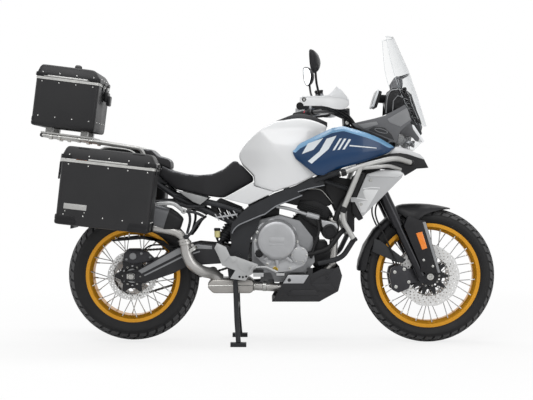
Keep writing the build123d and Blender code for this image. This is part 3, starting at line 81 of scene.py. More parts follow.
def soft_box(name, place, aim, size, power):
    """A rectangular lamp behind a diffuser, pointed at a place on the machine."""
    lamp = bpy.data.lights.new(name, "AREA")
    lamp.shape = "RECTANGLE"
    lamp.size, lamp.size_y = size
    lamp.energy = power
    holder = bpy.data.objects.new(name, lamp)
    holder.location = place
    holder.rotation_euler = (Vector(aim) - Vector(place)).to_track_quat("-Z", "Y").to_euler()
    bpy.context.collection.objects.link(holder)


soft_box("key_box", (-0.8, -3.4, 3.8), (0, 0, 0.6), (3.4, 1.8), 75)
soft_box("fill_box", (3.2, -3.4, 1.6), (0.2, 0, 0.6), (1.8, 2.4), 30)
soft_box("top_box", (0.0, 0.4, 4.4), (0, 0, 0.7), (4.2, 1.4), 75)
soft_box("back_box", (-3.0, 3.4, 2.6), (0, 0, 0.6), (2.2, 2.2), 45)

world = bpy.data.worlds.new("studio")
bpy.context.scene.world = world
world.use_nodes = True
sky = world.node_tree
sky.nodes.clear()
path = put(sky, "ShaderNodeLightPath")
seen = put(sky, "ShaderNodeMath", {0: path.outputs["Is Camera Ray"], 1: path.outputs["Is Glossy Ray"]},
           operation="MAXIMUM")
seen = put(sky, "ShaderNodeMath", {0: seen.outputs[0], 1: path.outputs["Is Transmission Ray"]},
           operation="MAXIMUM")
room = put(sky, "ShaderNodeBackground", values={"Strength": 0.42, "Color": (1, 1, 1, 1)})
paper = put(sky, "ShaderNodeBackground", values={"Strength": 1.0, "Color": (1, 1, 1, 1)})
shown = put(sky, "ShaderNodeMixShader", {0: seen.outputs[0], 1: room.outputs[0], 2: paper.outputs[0]})
put(sky, "ShaderNodeOutputWorld", {"Surface": shown.outputs[0]})

FLOOR_HALF = 12
floor_mesh = bpy.data.meshes.new("floor")
floor_mesh.from_pydata([(-FLOOR_HALF, -FLOOR_HALF, 0), (FLOOR_HALF, -FLOOR_HALF, 0),
                        (FLOOR_HALF, FLOOR_HALF, 0), (-FLOOR_HALF, FLOOR_HALF, 0)], [], [(0, 1, 2, 3)])
floor = bpy.data.objects.new("floor", floor_mesh)
bpy.context.collection.objects.link(floor)
# Seamless white paper: the eye sees it lit through, so that only the machine's shadow shows on it.
floor_paint = bpy.data.materials.new("seamless_white_paper")
floor_paint.use_nodes = True
tree = floor_paint.node_tree
tree.nodes.clear()
fibre = put(tree, "ShaderNodeTexNoise", values={"Scale": 400.0})
grain = put(tree, "ShaderNodeBump", {"Height": fibre.outputs["Fac"]}, {"Distance": 0.0002})
sheet = put(tree, "ShaderNodeBsdfDiffuse", {"Normal": grain.outputs[0]}, {"Color": (0.95, 0.95, 0.95, 1)})
glow = put(tree, "ShaderNodeEmission", values={"Color": (1, 1, 1, 1), "Strength": 1.0})
eye = put(tree, "ShaderNodeLightPath")
spot = put(tree, "ShaderNodeTexCoord").outputs["Object"]
reach = put(tree, "ShaderNodeVectorMath", {0: spot}, operation="LENGTH")
fade = put(tree, "ShaderNodeMapRange", {"Value": reach.outputs["Value"]},
           {"From Min": 1.2, "From Max": 3.4, "To Min": 0.8, "To Max": 1.0})
share = put(tree, "ShaderNodeMath", {0: eye.outputs["Is Camera Ray"], 1: fade.outputs[0]}, operation="MULTIPLY")
mixed = put(tree, "ShaderNodeMixShader", {0: share.outputs[0], 1: sheet.outputs[0], 2: glow.outputs[0]})
put(tree, "ShaderNodeOutputMaterial", {"Surface": mixed.outputs[0]})
floor_mesh.materials.append(floor_paint)


# ---------------------------------------------------------------- tyres
# Block-pattern radial tyres for road and gravel, with their carcass, side walls and tread blocks
# vulcanised in one mould. Each is seated on its rim and replaces the plain solid.
MM = 0.001
FRONT_AXLE = Vector((0.790, 0, 0.329))
REAR_AXLE = Vector((-0.650, 0, 0.331))
TREAD_DEPTH = 6


def linear(hex_colour):
    """An sRGB hex colour as linear red, green, blue and full cover."""
    values = [int(hex_colour[i:i + 2], 16) / 255 for i in (1, 3, 5)]
    return (*[v / 12.92 if v <= 0.04045 else ((v + 0.055) / 1.055) ** 2.4 for v in values], 1.0)


def finish(name, dark, light, roughness, metallic=0.0, patch=80, grain=2.0, depth=0.1, specular=0.5,
           **sockets):
    """A surface whose colour drifts between two close tones over patches of a size, with a fine grain
    of another size that stands out by a depth, all in millimetres. Other sockets are set by name."""
    made = bpy.data.materials.new(name)
    made.use_nodes = True
    tree = made.node_tree
    shader = tree.nodes["Principled BSDF"]
    shader.inputs["Metallic"].default_value = metallic
    shader.inputs["Specular IOR Level"].default_value = specular
    for socket, value in sockets.items():
        shader.inputs[socket.replace("_", " ")].default_value = value
    place = put(tree, "ShaderNodeTexCoord").outputs["Object"]
    patches = put(tree, "ShaderNodeTexNoise", {"Vector": place}, {"Scale": 1 / (patch * MM), "Detail": 4})
    tone = put(tree, "ShaderNodeMix", {0: patches.outputs["Fac"]}, {6: linear(dark), 7: linear(light)},
               data_type="RGBA")
    tree.links.new(tone.outputs[2], shader.inputs["Base Color"])
    gloss = put(tree, "ShaderNodeMapRange", {"Value": patches.outputs["Fac"]},
                {"From Min": 0.3, "From Max": 0.7, "To Min": roughness * 0.88, "To Max": roughness * 1.12})
    tree.links.new(gloss.outputs[0], shader.inputs["Roughness"])
    grit = put(tree, "ShaderNodeTexNoise", {"Vector": place}, {"Scale": 1 / (grain * MM), "Detail": 2})
    relief = put(tree, "ShaderNodeBump", {"Height": grit.outputs["Fac"]}, {"Distance": depth * MM})
    tree.links.new(relief.outputs[0], shader.inputs["Normal"])
    return made


def make_piece(name, shape, material, body="chassis", smooth=35):
    """Turns a bmesh into an object that rides on a body and takes the given material.
    It is smooth except across edges sharper than an angle."""
    mesh = bpy.data.meshes.new(name)
    shape.to_mesh(mesh)
    shape.free()
    mesh.materials.append(material)
    mesh.shade_smooth()
    mesh.set_sharp_from_angle(angle=radians(smooth))
    piece = bpy.data.objects.new(name, mesh)
    bpy.context.collection.objects.link(piece)
    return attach(piece, body)


# Vulcanised rubber: near black with a faint grey bloom, and the dull gloss of a mould's surface.
rubber = finish("vulcanised_rubber", "#141415", "#1F1F20", 0.6, grain=1.6, depth=0.12, specular=0.3)

# The same rubber on the blocks' tops, painted paler as a highlight for the light they catch from above, and
# quite matt.
tread_top_painted_highlight = finish("block_top_rubber_painted_highlight", "#3A3A3B", "#4A4A4B", 0.7, patch=30, grain=1.6, depth=0.2)

# name, body, axle, radius, half width, bead radius, rim half width, blocks round, crown drop, block rows:
# each row is inner edge, outer edge (share of the crown), share of the pitch, stagger, slant
TYRES = [
    ("front_tyre", "front_wheel", FRONT_AXLE, 329, 55, 241, 37, 44, 27,
     [(0.03, 0.34, 0.86, 0.0, 0.3), (0.385, 0.68, 0.86, 0.5, 0.3), (0.725, 1.02, 0.84, 0.0, 0.2)]),
    ("rear_tyre", "rear_wheel", REAR_AXLE, 321, 75, 216, 59, 40, 33,
     [(0.03, 0.34, 0.87, 0.0, 0.3), (0.38, 0.68, 0.87, 0.5, 0.3), (0.72, 1.02, 0.85, 0.0, 0.2)]),
]
ROUND = 120


def crown(share, radius, half, drop, lift):
    """A point of the tread's crown: how far out, and at what radius, for a share of its width."""
    return share * half * 0.93, radius - drop * abs(share) ** 2 - TREAD_DEPTH + lift


for name, body, axle, radius, half, bead, rim_half, pitches, drop, rows in TYRES:
    wall = radius - bead
    profile = [(rim_half - 5, bead + 1), (rim_half - 4, bead + 13), (rim_half + 2, bead + 15),
               (half * 0.93, bead + wall * 0.32)]
    profile += [(half, bead + wall * 0.48), (half * 0.99, bead + wall * 0.555)]
    profile += [crown(share, radius, half, drop, 0) for share in (1.0, 0.85, 0.65, 0.4, 0.15)]
    profile += [(-y, r) for y, r in reversed(profile)]
    shape = bmesh.new()
    rings = []
    for step in range(ROUND):
        turn = 2 * pi * step / ROUND
        rings.append([shape.verts.new(axle + MM * Vector((r * cos(turn), y, r * sin(turn)))) for y,
                      r in profile])
    for step in range(ROUND):
        near, far = rings[step], rings[(step + 1) % ROUND]
        for k in range(len(profile) - 1):
            shape.faces.new((near[k], near[k + 1], far[k + 1], far[k]))
    for pitch in range(pitches):
        for inner, outer, cover, stagger, slant in rows:
            for side in (1, -1):
                start = pitch + (stagger if side > 0 else stagger + 0.5)
                grid = []
                for lift, inset in ((-1, 0), (TREAD_DEPTH, 0.06)):
                    ring = []
                    for along, across in ((0, 0), (0.5, 0), (1, 0), (1, 0.5), (1, 1), (0.5, 1), (0, 1),
                                          (0, 0.5)):
                        across = inset / 2 + across * (1 - inset)
                        share = inner + (outer - inner) * across
                        turn = 2 * pi / pitches * (start + cover * (inset + along * (1 - 2 * inset))
                                                   + slant * across)
                        y, r = crown(share, radius, half, drop, lift)
                        ring.append(shape.verts.new(
                            axle + MM * Vector((r * cos(turn), side * y, r * sin(turn)))))
                    grid.append(ring)
                for k in range(8):
                    j = (k + 1) % 8
                    shape.faces.new((grid[0][k], grid[0][j], grid[1][j], grid[1][k]))
                # Each block's top face takes the paler rubber: a painted highlight.
                shape.faces.new(grid[1]).material_index = 1
    bmesh.ops.recalc_face_normals(shape, faces=shape.faces)
    tyre = make_piece(f"{name}_moulded", shape, rubber, body, 28)
    tyre.data.materials.append(tread_top_painted_highlight)
    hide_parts(name)

# ---------------------------------------------------------------- rims, hubs and spokes
# Tubeless rims rolled from aluminium and anodised gold, laced to their hubs with crossed stainless
# spokes. The nipples sit in the rim's flanges, clear of its air space.


def dress(material, *nodes):
    """Gives each named node its material, in every slot it has."""
    for node in nodes:
        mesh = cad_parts[node].data
        if not mesh.materials:
            mesh.materials.append(material)
        for index in range(len(mesh.materials)):
            mesh.materials[index] = material


def turned(shape, place, axis, profile, sides=16):
    """Adds a round form: rings of (height, radius) in millimetres, up an axis from a place."""
    turn = Vector(axis).normalized().to_track_quat("Z", "Y").to_matrix()
    rings = []
    for height, radius in profile:
        rings.append([
            shape.verts.new(MM * (Vector(place) + turn @ Vector((radius * cos(a), radius * sin(a), height))))
            for a in [2 * pi * k / sides for k in range(sides)]
        ])
    for near, far in zip(rings[:-1], rings[1:]):
        for k in range(sides):
            j = (k + 1) % sides
            shape.faces.new((near[k], near[j], far[j], far[k]))
    shape.faces.new(rings[0][::-1])
    shape.faces.new(rings[-1])


# Gold anodised aluminium: a clear dye over a fine brushed metal, so it keeps a metal's hard lights.
gold = finish("gold_anodised_aluminium", "#CB8A18", "#E0A22E", 0.3, 0.55, grain=3, depth=0.03)
dress(gold, "front_rim", "rear_rim")
# Drawn stainless wire and a black hub: bright thin lines against the dark.
wire = finish("drawn_stainless_wire", "#8E8F90", "#B4B5B6", 0.28, 1.0, grain=3, depth=0.03)
dress(wire, "front_hub_and_spokes", "rear_hub_and_spokes")

# The hubs' shells are die cast and painted black; the spokes' nipples are turned brass, nickel plated.
# Black paint on a die casting: satin, with the casting's soft edges.
hub_black = finish("painted_cast_hub_black", "#1E1E20", "#2C2C2E", 0.36, 0.3, patch=30, grain=1.4,
                   depth=0.05, specular=0.22)
# Nickel-plated brass: small warm white glints at the rim.
nickel = finish("nickel_plated_nipple", "#A9A8A4", "#C6C5C1", 0.24, 0.9, patch=10, grain=1, depth=0.02)
SPOKES = 18
# name, body, axle, bead radius, rim half width, flange radius, flange y, seat radius, right seat, left seat
for name, body, axle, bead, rim_half, flange_r, flange_y, seat_r, right, left in (
    ("front", "front_wheel", FRONT_AXLE, 241, 37, 48, 34, 40, 61.3, 61.3),
    ("rear", "rear_wheel", REAR_AXLE, 216, 59, 60, 48, 50, 85.3, 84.3),
):
    centre = axle / MM
    shape = bmesh.new()
    out, seat = flange_r + 0.8, seat_r + 0.8
    profile = [(-right, seat - 2), (-right + 2, seat), (-flange_y - 6, seat), (-flange_y - 4, out),
               (-flange_y + 4, out)]
    profile += [(-flange_y + 6, seat + 1), (0, seat), (flange_y - 6, seat + 1), (flange_y - 4, out),
                (flange_y + 4, out)]
    profile += [(flange_y + 6, seat), (left - 2, seat), (left, seat - 2)]
    turned(shape, centre, (0, 1, 0), profile, 48)
    make_piece(f"{name}_hub_shell", shape, hub_black, body)
    shape = bmesh.new()
    for side in (1, -1):
        for k in range(SPOKES):
            at_rim = 2 * pi * (k + side / 4) / SPOKES
            at_hub = at_rim + radians(44 if k % 2 else -44)
            foot = Vector(((flange_r - 5) * cos(at_hub), side * flange_y, (flange_r - 5) * sin(at_hub)))
            head = Vector(((bead - 9) * cos(at_rim), side * (rim_half - 9), (bead - 9) * sin(at_rim)))
            flow = (head - foot).normalized()
            turned(shape, centre + head - flow * 24, flow, [(0, 2.6), (1, 3.3), (15, 3.6), (22, 3.6)], 8)
            turned(shape, centre + foot + flow * 3, flow, [(0, 3), (7, 3.2), (8, 2.5)], 8)
    make_piece(f"{name}_spoke_nipples", shape, nickel, body)

# ---------------------------------------------------------------- brake discs and sprocket
# Discs and sprocket stamped from stainless plate, drilled, and ground flat on both faces.
# The holes lighten them and clear water, and each disc floats on its carrier's round buttons.


def flat_plate(name, outlines, thickness, centre, y_middle, material, body="chassis"):
    """A plate cut to outlines of (x, z) points about a centre, the first the edge, the others holes."""
    sheet = bpy.data.curves.new(name, "CURVE")
    sheet.dimensions = "2D"
    sheet.fill_mode = "BOTH"
    sheet.extrude = thickness / 2 * MM
    sheet.bevel_depth = 0.3 * MM
    sheet.offset = -0.3 * MM
    for points in outlines:
        spline = sheet.splines.new("POLY")
        spline.points.add(len(points) - 1)
        for point, (x, z) in zip(spline.points, points):
            point.co = (x * MM, z * MM, 0, 1)
        spline.use_cyclic_u = True
    holder = bpy.data.objects.new(name, sheet)
    bpy.context.collection.objects.link(holder)
    shape = bmesh.new()
    mesh = bpy.data.meshes.new_from_object(holder.evaluated_get(bpy.context.evaluated_depsgraph_get()))
    shape.from_mesh(mesh)
    bpy.data.objects.remove(holder)
    upright = Matrix.Translation(Vector((centre.x, y_middle * MM, centre.z))) @ Matrix.Rotation(pi / 2, 4, "X")
    shape.transform(upright)
    bmesh.ops.remove_doubles(shape, verts=shape.verts, dist=1e-6)
    return make_piece(name, shape, material, body, 30)


def circle(x, z, radius, sides):
    """Points of a round outline."""
    return [(x + radius * cos(2 * pi * k / sides), z + radius * sin(2 * pi * k / sides)) for k in range(sides)]


# Ground stainless plate: fine rings from the grinder and the pads, which stretch the lights round.
disc_steel = finish("ground_stainless_disc", "#CDCDCC", "#E0E0DF", 0.38, 0.3, patch=20, grain=2, depth=0.03)
dress(disc_steel, "rear_sprocket")
# Hard anodised aluminium for the carriers: black, with a fine dull sheen.
carrier_black = finish("hard_anodised_carrier", "#19191B", "#252528", 0.4, 0.4, patch=20, grain=1, depth=0.03)
# name, body, node, axle, disc's y, outer, inner, bolt circle and bore radius, arms, holes per turn
DISCS = [
    ("front_disc_right", "front_wheel", "front_discs", FRONT_AXLE, -64, 150, 98, 50, 26, 10, 30),
    ("front_disc_left", "front_wheel", "front_discs", FRONT_AXLE, 64, 150, 98, 50, 26, 10, 30),
    ("rear_disc_right", "rear_wheel", "rear_disc", REAR_AXLE, -88, 120, 90, 46, 34, 6, 24),
]
for name, body, node, axle, y, outer, inner, bolts, bore, arms, count in DISCS:
    centre = axle / MM
    side = 1 if y > 0 else -1
    edge = [
        (r * cos(turn), r * sin(turn))
        for turn in [2 * pi * k / 200 for k in range(200)]
        for r in [outer - 1.8 + 1.8 * cos(turn * arms)]
    ]
    inside = [
        (r * cos(turn), r * sin(turn))
        for turn in [2 * pi * k / 120 for k in range(120)]
        for r in [inner + 1.5 - 2.5 * max(cos(turn * arms), 0)]
    ]
    holes = [inside]
    band = outer - inner
    for k in range(count):
        for row, share in enumerate((0.2, 0.4, 0.6, 0.8)):
            turn = 2 * pi * (k + row / 2.6) / count
            reach = inner + band * share
            holes.append(circle(reach * cos(turn), reach * sin(turn), 3.4, 10))
    disc = flat_plate(name, [edge, *holes], 4.6, axle, y, disc_steel, body)
    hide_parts(node)
    star = []
    for k in range(arms):
        turn = 2 * pi * k / arms
        for r, lean in ((bolts + 16, -0.5), (bolts + 15, -0.30), (inner - 4, -6.5 / inner),
                        (inner + 3, -5 / inner), (inner + 3, 5 / inner), (inner - 4, 6.5 / inner),
                        (bolts + 15, 0.30)):
            lean = lean * 2 * pi / arms if abs(lean) >= 0.3 else lean
            star.append((r * cos(turn + lean), r * sin(turn + lean)))
    cuts = [circle(0, 0, bore, 48)]
    cuts += [circle((bolts + 2) * cos(a), (bolts + 2) * sin(a), 5, 12)
             for a in [2 * pi * (k + 0.5) / arms for k in range(arms)]]
    carrier = flat_plate(f"{name}_carrier", [star, *cuts], 5.6, axle, y, carrier_black, body)
    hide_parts(node)
    shape = bmesh.new()
    for k in range(arms):
        a = 2 * pi * k / arms
        for reach, size in ((inner, 5.6), (bolts, 5.0)):
            turned(shape, centre + Vector((reach * cos(a), y - side * 3.4, reach * sin(a))), (0, side, 0),
                   [(0, size), (6.4, size), (7.4, size - 1), (7.4, size - 2.6), (6.4, size - 3)], 14)
    make_piece(f"{name}_buttons", shape, nickel, body)

# ---------------------------------------------------------------- frame
# A welded tube frame with forged side webs, powder coated satin black. A pale bead along each web's
# lower edge is a painted highlight on its bevel, and slotted guards close the space behind them.


def lofted(shape, rings, close_first=False, close_last=False):
    """Skins a row of rings, and caps its ends."""
    for near, far in zip(rings[:-1], rings[1:]):
        for k in range(len(near)):
            j = (k + 1) % len(near)
            shape.faces.new((near[k], near[j], far[j], far[k]))
    if close_first:
        shape.faces.new(rings[0][::-1])
    if close_last:
        shape.faces.new(rings[-1])


def run_of(shape, points, radius, sides=10, flat=1.0):
    """A rod or pipe through points in millimetres, mitred at each, with its ends closed."""
    points = [Vector(p) for p in points]
    rings = []
    for k, point in enumerate(points):
        before = (point - points[k - 1]).normalized() if k else None
        after = (points[k + 1] - point).normalized() if k < len(points) - 1 else None
        flow = ((before or after) + (after or before)).normalized()
        stretch = 1 / max(flow.dot(after or before), 0.5)
        side = flow.cross(Vector((0, 1, 0)) if abs(flow.y) < 0.9 else Vector((1, 0, 0))).normalized()
        other = flow.cross(side).normalized()
        rings.append([
            shape.verts.new(MM * (point + side * cos(a) * radius * stretch + other * sin(a) * radius * flat))
            for a in [2 * pi * j / sides for j in range(sides)]
        ])
    lofted(shape, rings, True, True)


def smooth_run(points, cuts=5):
    """Points of an even curve through the given ones (Catmull-Rom), for hoses, pipes and beads."""
    points = [Vector(p) for p in points]
    ends = [points[0] * 2 - points[1], *points, points[-1] * 2 - points[-2]]
    made = []
    for a, b, c, d in zip(ends[:-3], ends[1:-2], ends[2:-1], ends[3:]):
        for k in range(cuts):
            t = k / cuts
            made.append(0.5 * (2 * b + (c - a) * t + (2 * a - 5 * b + 4 * c - d) * t * t
                               + (3 * b - a - 3 * c + d) * t * t * t))
    return [*made, points[-1]]


def pressed(shape, outline, y_near, y_far, ease=1.2):
    """A side outline of (x, z) points carried between two widths, with its edges eased."""
    part = bmesh.new()
    near = [part.verts.new((x * MM, y_near * MM, z * MM)) for x, z in outline]
    far = [part.verts.new((x * MM, y_far * MM, z * MM)) for x, z in outline]
    lofted(part, [near, far], True, True)
    bmesh.ops.recalc_face_normals(part, faces=part.faces)
    if ease:
        bmesh.ops.bevel(part, geom=part.edges[:], offset=ease * MM, segments=2, profile=0.5, affect="EDGES",
                        clamp_overlap=True)
    bmesh.ops.triangulate(part, faces=[face for face in part.faces if len(face.verts) > 4])
    mesh = bpy.data.meshes.new("pressed")
    part.to_mesh(mesh)
    part.free()
    shape.from_mesh(mesh)
    bpy.data.meshes.remove(mesh)


def softened(node, name, material, width, body="chassis"):
    """A copy of a node's solid with its edges rounded by a width in millimetres, as a mould's are."""
    shape = bmesh.new()
    shape.from_mesh(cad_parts[node].data)
    bmesh.ops.remove_doubles(shape, verts=shape.verts, dist=1e-5)
    bmesh.ops.dissolve_limit(shape, angle_limit=radians(1.5), verts=shape.verts, edges=shape.edges)
    mesh = bpy.data.meshes.new(name)
    shape.to_mesh(mesh)
    shape.free()
    source = bpy.data.objects.new(name + "_source", mesh)
    bpy.context.collection.objects.link(source)
    edge = source.modifiers.new("edge", "BEVEL")
    edge.width = width * MM
    edge.segments = 2
    edge.limit_method = "ANGLE"
    edge.angle_limit = radians(38)
    edge.use_clamp_overlap = True
    shape = bmesh.new()
    shape.from_mesh(bpy.data.meshes.new_from_object(
        source.evaluated_get(bpy.context.evaluated_depsgraph_get())))
    bpy.data.objects.remove(source)
    for face in shape.faces:
        face.material_index = 0
    piece = make_piece(name, shape, material, body)
    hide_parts(node)
    return piece


# Satin powder coat on steel: dark charcoal with small rounded highlights.
powder_black = finish("powder_coated_steel_black", "#27282A", "#313235", 0.4, patch=60, grain=1.2,
                      depth=0.06, specular=0.22)
dress(powder_black, "frame")
# The webs' lower edge: a pale bead, a painted highlight where the bevel catches the light.
web_highlight = finish("web_edge_painted_highlight_alloy", "#77797D", "#8E9094", 0.36, 0.6, patch=40, grain=1, depth=0.03)
SIDES = ((1, "left"), (-1, "right"))
WEB_EDGE = [(277, 770), (200, 754), (150, 738), (171, 722), (109, 697), (44, 669), (-6, 633), (-26, 626),
            (-80, 603), (-130, 581), (-154, 560), (-165, 540)]
for side, hand in SIDES:
    shape = bmesh.new()
    run_of(shape, smooth_run([(x, side * 170.5, z) for x, z in WEB_EDGE[3:]], 3), 3.2, 8, 0.7)
    run_of(shape, [(x, side * 170.5, z) for x, z in WEB_EDGE[:3]], 2.6, 8, 0.7)
    make_piece(f"web_edge_highlight_rod_{hand}", shape, web_highlight, smooth=40)
# Moulded guard behind each web: three slanted slots keep mud off the shock absorber.
guard_nylon = finish("moulded_nylon_black", "#161617", "#212123", 0.38, patch=40, grain=1.2, depth=0.08,
                     specular=0.22)
for side, hand in SIDES:
    edge = [(-228, 706), (-120, 662), (-118, 640), (-150, 610), (-190, 600), (-262, 628), (-270, 668)]
    slots = [[(-246 + 34 * k, 668), (-236 + 34 * k, 672), (-214 + 34 * k, 626), (-224 + 34 * k, 622)]
             for k in range(3)]
    flat_plate(f"shock_guard_{hand}", [edge, *slots], 3, Vector((0, 0, 0)), side * 94, guard_nylon)

# ---------------------------------------------------------------- engine
# A twin-cylinder engine of sand-cast aluminium, tied to the frame at its webs. Its clutch cover is
# die cast and silver painted, held by flanged bolts; the cylinders are cast with fins, painted black.

# Sand-cast aluminium, bead blasted: grey, with a rough even grain and soft dull lights.
cast = finish("sand_cast_aluminium", "#77787A", "#909193", 0.5, 0.6, patch=30, grain=1.6, depth=0.2)
# Die-cast cover in silver paint: brighter, finer and more even than the sand casting.
cover = finish("silver_painted_die_casting", "#9C9D9F", "#B0B1B3", 0.4, 0.55, patch=60, grain=1.2, depth=0.06)
# Black paint over a fresh casting: the fins hold it, and their edges wear through a little.
barrel = finish("black_painted_casting", "#1C1C1D", "#2B2B2D", 0.42, 0.3, patch=20, grain=1.6, depth=0.15)
# Zinc-plated flanged bolts: small pale points of light, softened by the plating's haze.
bolt_steel = finish("zinc_flanged_bolts", "#A6A6A4", "#C4C4C0", 0.3, 0.9, patch=10, grain=1, depth=0.02)
# Turned brass: a warm yellow spot with the tight light of a turned face.
brass = finish("turned_brass", "#8F7A32", "#B59A48", 0.3, 0.9, patch=10, grain=1, depth=0.02)
softened("engine_case", "crankcase", cast, 2.5)
softened("engine_covers", "engine_covers_cast", cover, 2.2)
dress(barrel, "cylinders")

CLUTCH_MIDDLE = (49, 507)
COVER_BOLTS = [(-42, 545), (20, 592), (78, 588), (128, 552), (-50, 505), (-46, 441), (4, 392), (112, 372),
               (178, 402), (160, 440), (146, 500)]
shape = bmesh.new()
turned(shape, (CLUTCH_MIDDLE[0], -157, CLUTCH_MIDDLE[1]), (0, -1, 0),
       [(0, 101), (7, 100), (11, 97), (15, 93), (19, 91.5), (24, 89), (27.5, 83), (29, 74), (29.4, 40),
        (29.4, 4)], 72)
for outline in ([(40, 424), (58, 424), (56, 372), (44, 372)], [(24, 452), (40, 440), (-8, 404), (-16, 416)],
                [(62, 440), (78, 448), (128, 408), (118, 398)]):
    pressed(shape, outline, -156, -170, 4)
pressed(shape, [(12, 520), (84, 520), (84, 498), (12, 498)], -184, -188, 1.2)
pressed(shape, [(14, 488), (82, 488), (82, 484), (14, 484)], -184, -188, 0.8)
pressed(shape, [(118, 470), (150, 462), (196, 420), (184, 398), (140, 414), (112, 448)], -156, -174, 5)
make_piece("clutch_cover_dome", shape, cover, smooth=32)
shape = bmesh.new()
for x, z in COVER_BOLTS:
    turned(shape, (x, -163, z), (0, -1, 0), [(0, 7.5), (1.4, 7.5), (1.6, 5.2), (6, 5.2), (6.6, 4.2)], 12)
    turned(shape, (x, -169.3, z), (0, -1, 0), [(0, 4.2), (0.3, 2.4)], 6)
for k in range(6):
    turned(shape, (158 + 33 * cos(k * pi / 3), -170, 436 + 33 * sin(k * pi / 3)), (0, -1, 0),
           [(0, 4.4), (3.4, 4.4), (4, 3.4)], 10)
make_piece("engine_bolts", shape, bolt_steel)
shape = bmesh.new()
turned(shape, (42, -166, 368), (0, -1, 0), [(0, 13), (3, 13), (4, 11), (4, 8), (2, 7)], 24)
pressed(shape, [(34, 371), (50, 371), (50, 365), (34, 365)], -167, -172, 1)
make_piece("sight_plug", shape, brass)
shape = bmesh.new()
turned(shape, (-35, -168, 444), (0, -1, 0), [(0, 19), (5, 19), (7, 16), (7, 11), (4, 10)], 24)
for k in range(8):
    turned(shape, (-35 + 18 * cos(k * pi / 4), -166, 444 + 18 * sin(k * pi / 4)), (0, -1, 0),
           [(0, 3), (7, 3)], 8)
make_piece("oil_filler_cap", shape, guard_nylon)

# Cooling and breathing round the cylinders: a bright crossover pipe, a thermostat under a black
# cap, and rubber hoses to the radiator, clamped at both ends.
# Extruded EPDM hose: black and even, with a low broad light along its top.
hose_rubber = finish("extruded_epdm_hose", "#19191A", "#242425", 0.5, patch=30, grain=1.4, depth=0.05,
                     specular=0.22)
shape = bmesh.new()
run_of(shape, smooth_run([(48, -132, 668), (110, -134, 656), (200, -136, 628)]), 8, 14)
turned(shape, (192, -136, 631), (0.95, 0, -0.26), [(0, 9), (2, 14), (60, 14), (64, 11)], 20)
pressed(shape, [(262, 604), (336, 590), (346, 566), (330, 552), (268, 566)], -84, -132, 5)
make_piece("coolant_crossover", shape, cover)
shape = bmesh.new()
turned(shape, (304, -80, 548), (0, -1, 0), [(0, 40), (44, 40), (52, 36), (56, 28), (57, 12)], 40)
turned(shape, (304, -137, 548), (0, -1, 0), [(0, 27), (2.5, 26), (2.5, 22), (0.5, 21)], 32)
pressed(shape, [(246, 610), (300, 600), (300, 520), (262, 540)], -70, -92, 4)
make_piece("thermostat_cover", shape, guard_nylon)
shape = bmesh.new()
for points, radius in (
    ([(398, -120, 716), (372, -132, 690), (344, -132, 640), (330, -124, 600)], 13),
    ([(396, -90, 566), (356, -122, 540), (300, -138, 470), (236, -134, 446), (196, -150, 440)], 12),
    ([(232, -134, 640), (252, -140, 560), (226, -146, 470), (214, -138, 420)], 7),
    ([(-120, -126, 596), (-92, -136, 640), (-40, -140, 654), (30, -136, 664)], 7),
):
    run_of(shape, smooth_run(points), radius, 14)
make_piece("coolant_hoses", shape, hose_rubber, smooth=60)

# ---------------------------------------------------------------- airbox and side ducts
# The airbox fills the space under the tank, moulded in black nylon, its ducts led down either side
# to the throttle bodies. Screws through its flange hold it to the frame.
shape = bmesh.new()
pressed(shape, [(38, 722), (66, 690), (140, 672), (300, 668), (352, 700), (352, 850), (232, 806),
                (148, 764)], 88, -88, 5)
pressed(shape, [(-60, 662), (40, 700), (66, 690), (60, 600), (-40, 590), (-70, 620)], 70, -70, 4)
for side in (1, -1):
    pressed(shape, [(278, 826), (322, 832), (350, 808), (412, 798), (408, 743), (372, 678), (340, 636),
                    (316, 690), (284, 752)], side * 84, side * 112, 5)
    pressed(shape, [(160, 700), (242, 696), (300, 664), (322, 628), (290, 606), (184, 634), (150, 655)],
            side * 70, side * 92, 4)
    for k in range(5):
        x, z = 158 + 2 * k, 692 - 10 * k
        pressed(shape, [(x, z), (x + 112, z - 34), (x + 112, z - 39), (x, z - 5)], side * 90, side * 98, 1)
    pressed(shape, [(150, 628), (186, 606), (250, 560), (258, 503), (215, 430), (170, 480), (150, 545)],
            side * 70, side * 86, 4)
    pressed(shape, [(222, 500), (292, 500), (312, 440), (296, 380), (232, 372), (206, 410)], side * 60,
            side * 84, 4)
make_piece("airbox_moulded", shape, guard_nylon, smooth=32)
# A bright rod along each side's folded bracket edge: a painted highlight on the fold.
shape = bmesh.new()
for side in (1, -1):
    run_of(shape, smooth_run([(x, side * 97, z) for x,
                              z in ((150, 734), (190, 750), (254, 750), (288, 722), (346, 650))], 4), 2.2, 8)
make_piece("airbox_fold_painted_highlight", shape, bolt_steel, smooth=50)

# ---------------------------------------------------------------- radiator
# An aluminium core of flat tubes and folded fins, brazed together and painted black. Moulded side
# tanks close it, and rubber bushes hold it to the frame behind the front wheel.
dress(barrel, "radiator")
shape = bmesh.new()
x_low, x_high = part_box("radiator")[0].x / MM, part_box("radiator")[1].x / MM
for k in range(27):
    z = 560 + k * 7.4
    pressed(shape, [(x_high - 3, z), (x_high + 1.2, z), (x_high + 1.2, z + 2.2), (x_high - 3, z + 2.2)],
            124, -124, 0)
tubes = make_piece("radiator_tubes", shape, barrel, smooth=30)
shape = bmesh.new()
for side in (1, -1):
    pressed(shape, [(x_low - 2, 548), (x_high + 2, 548), (x_high + 2, 760), (x_low - 2, 760)], side * 124,
            side * 148.5, 5)
make_piece("radiator_tanks", shape, guard_nylon, smooth=30)

# ---------------------------------------------------------------- exhaust
# Stainless pipes and a pressed collector box, welded at their seams, that lead to a silencer under
# the right case. Heat has turned the first bends straw and the collector's edges brown.

# Drawn stainless tube, faintly straw with heat: long sharp lights along each bend.
pipe_steel = finish("stainless_exhaust_tube", "#9C9B99", "#BEBCB9", 0.32, 0.8, patch=60, grain=1.6, depth=0.03)
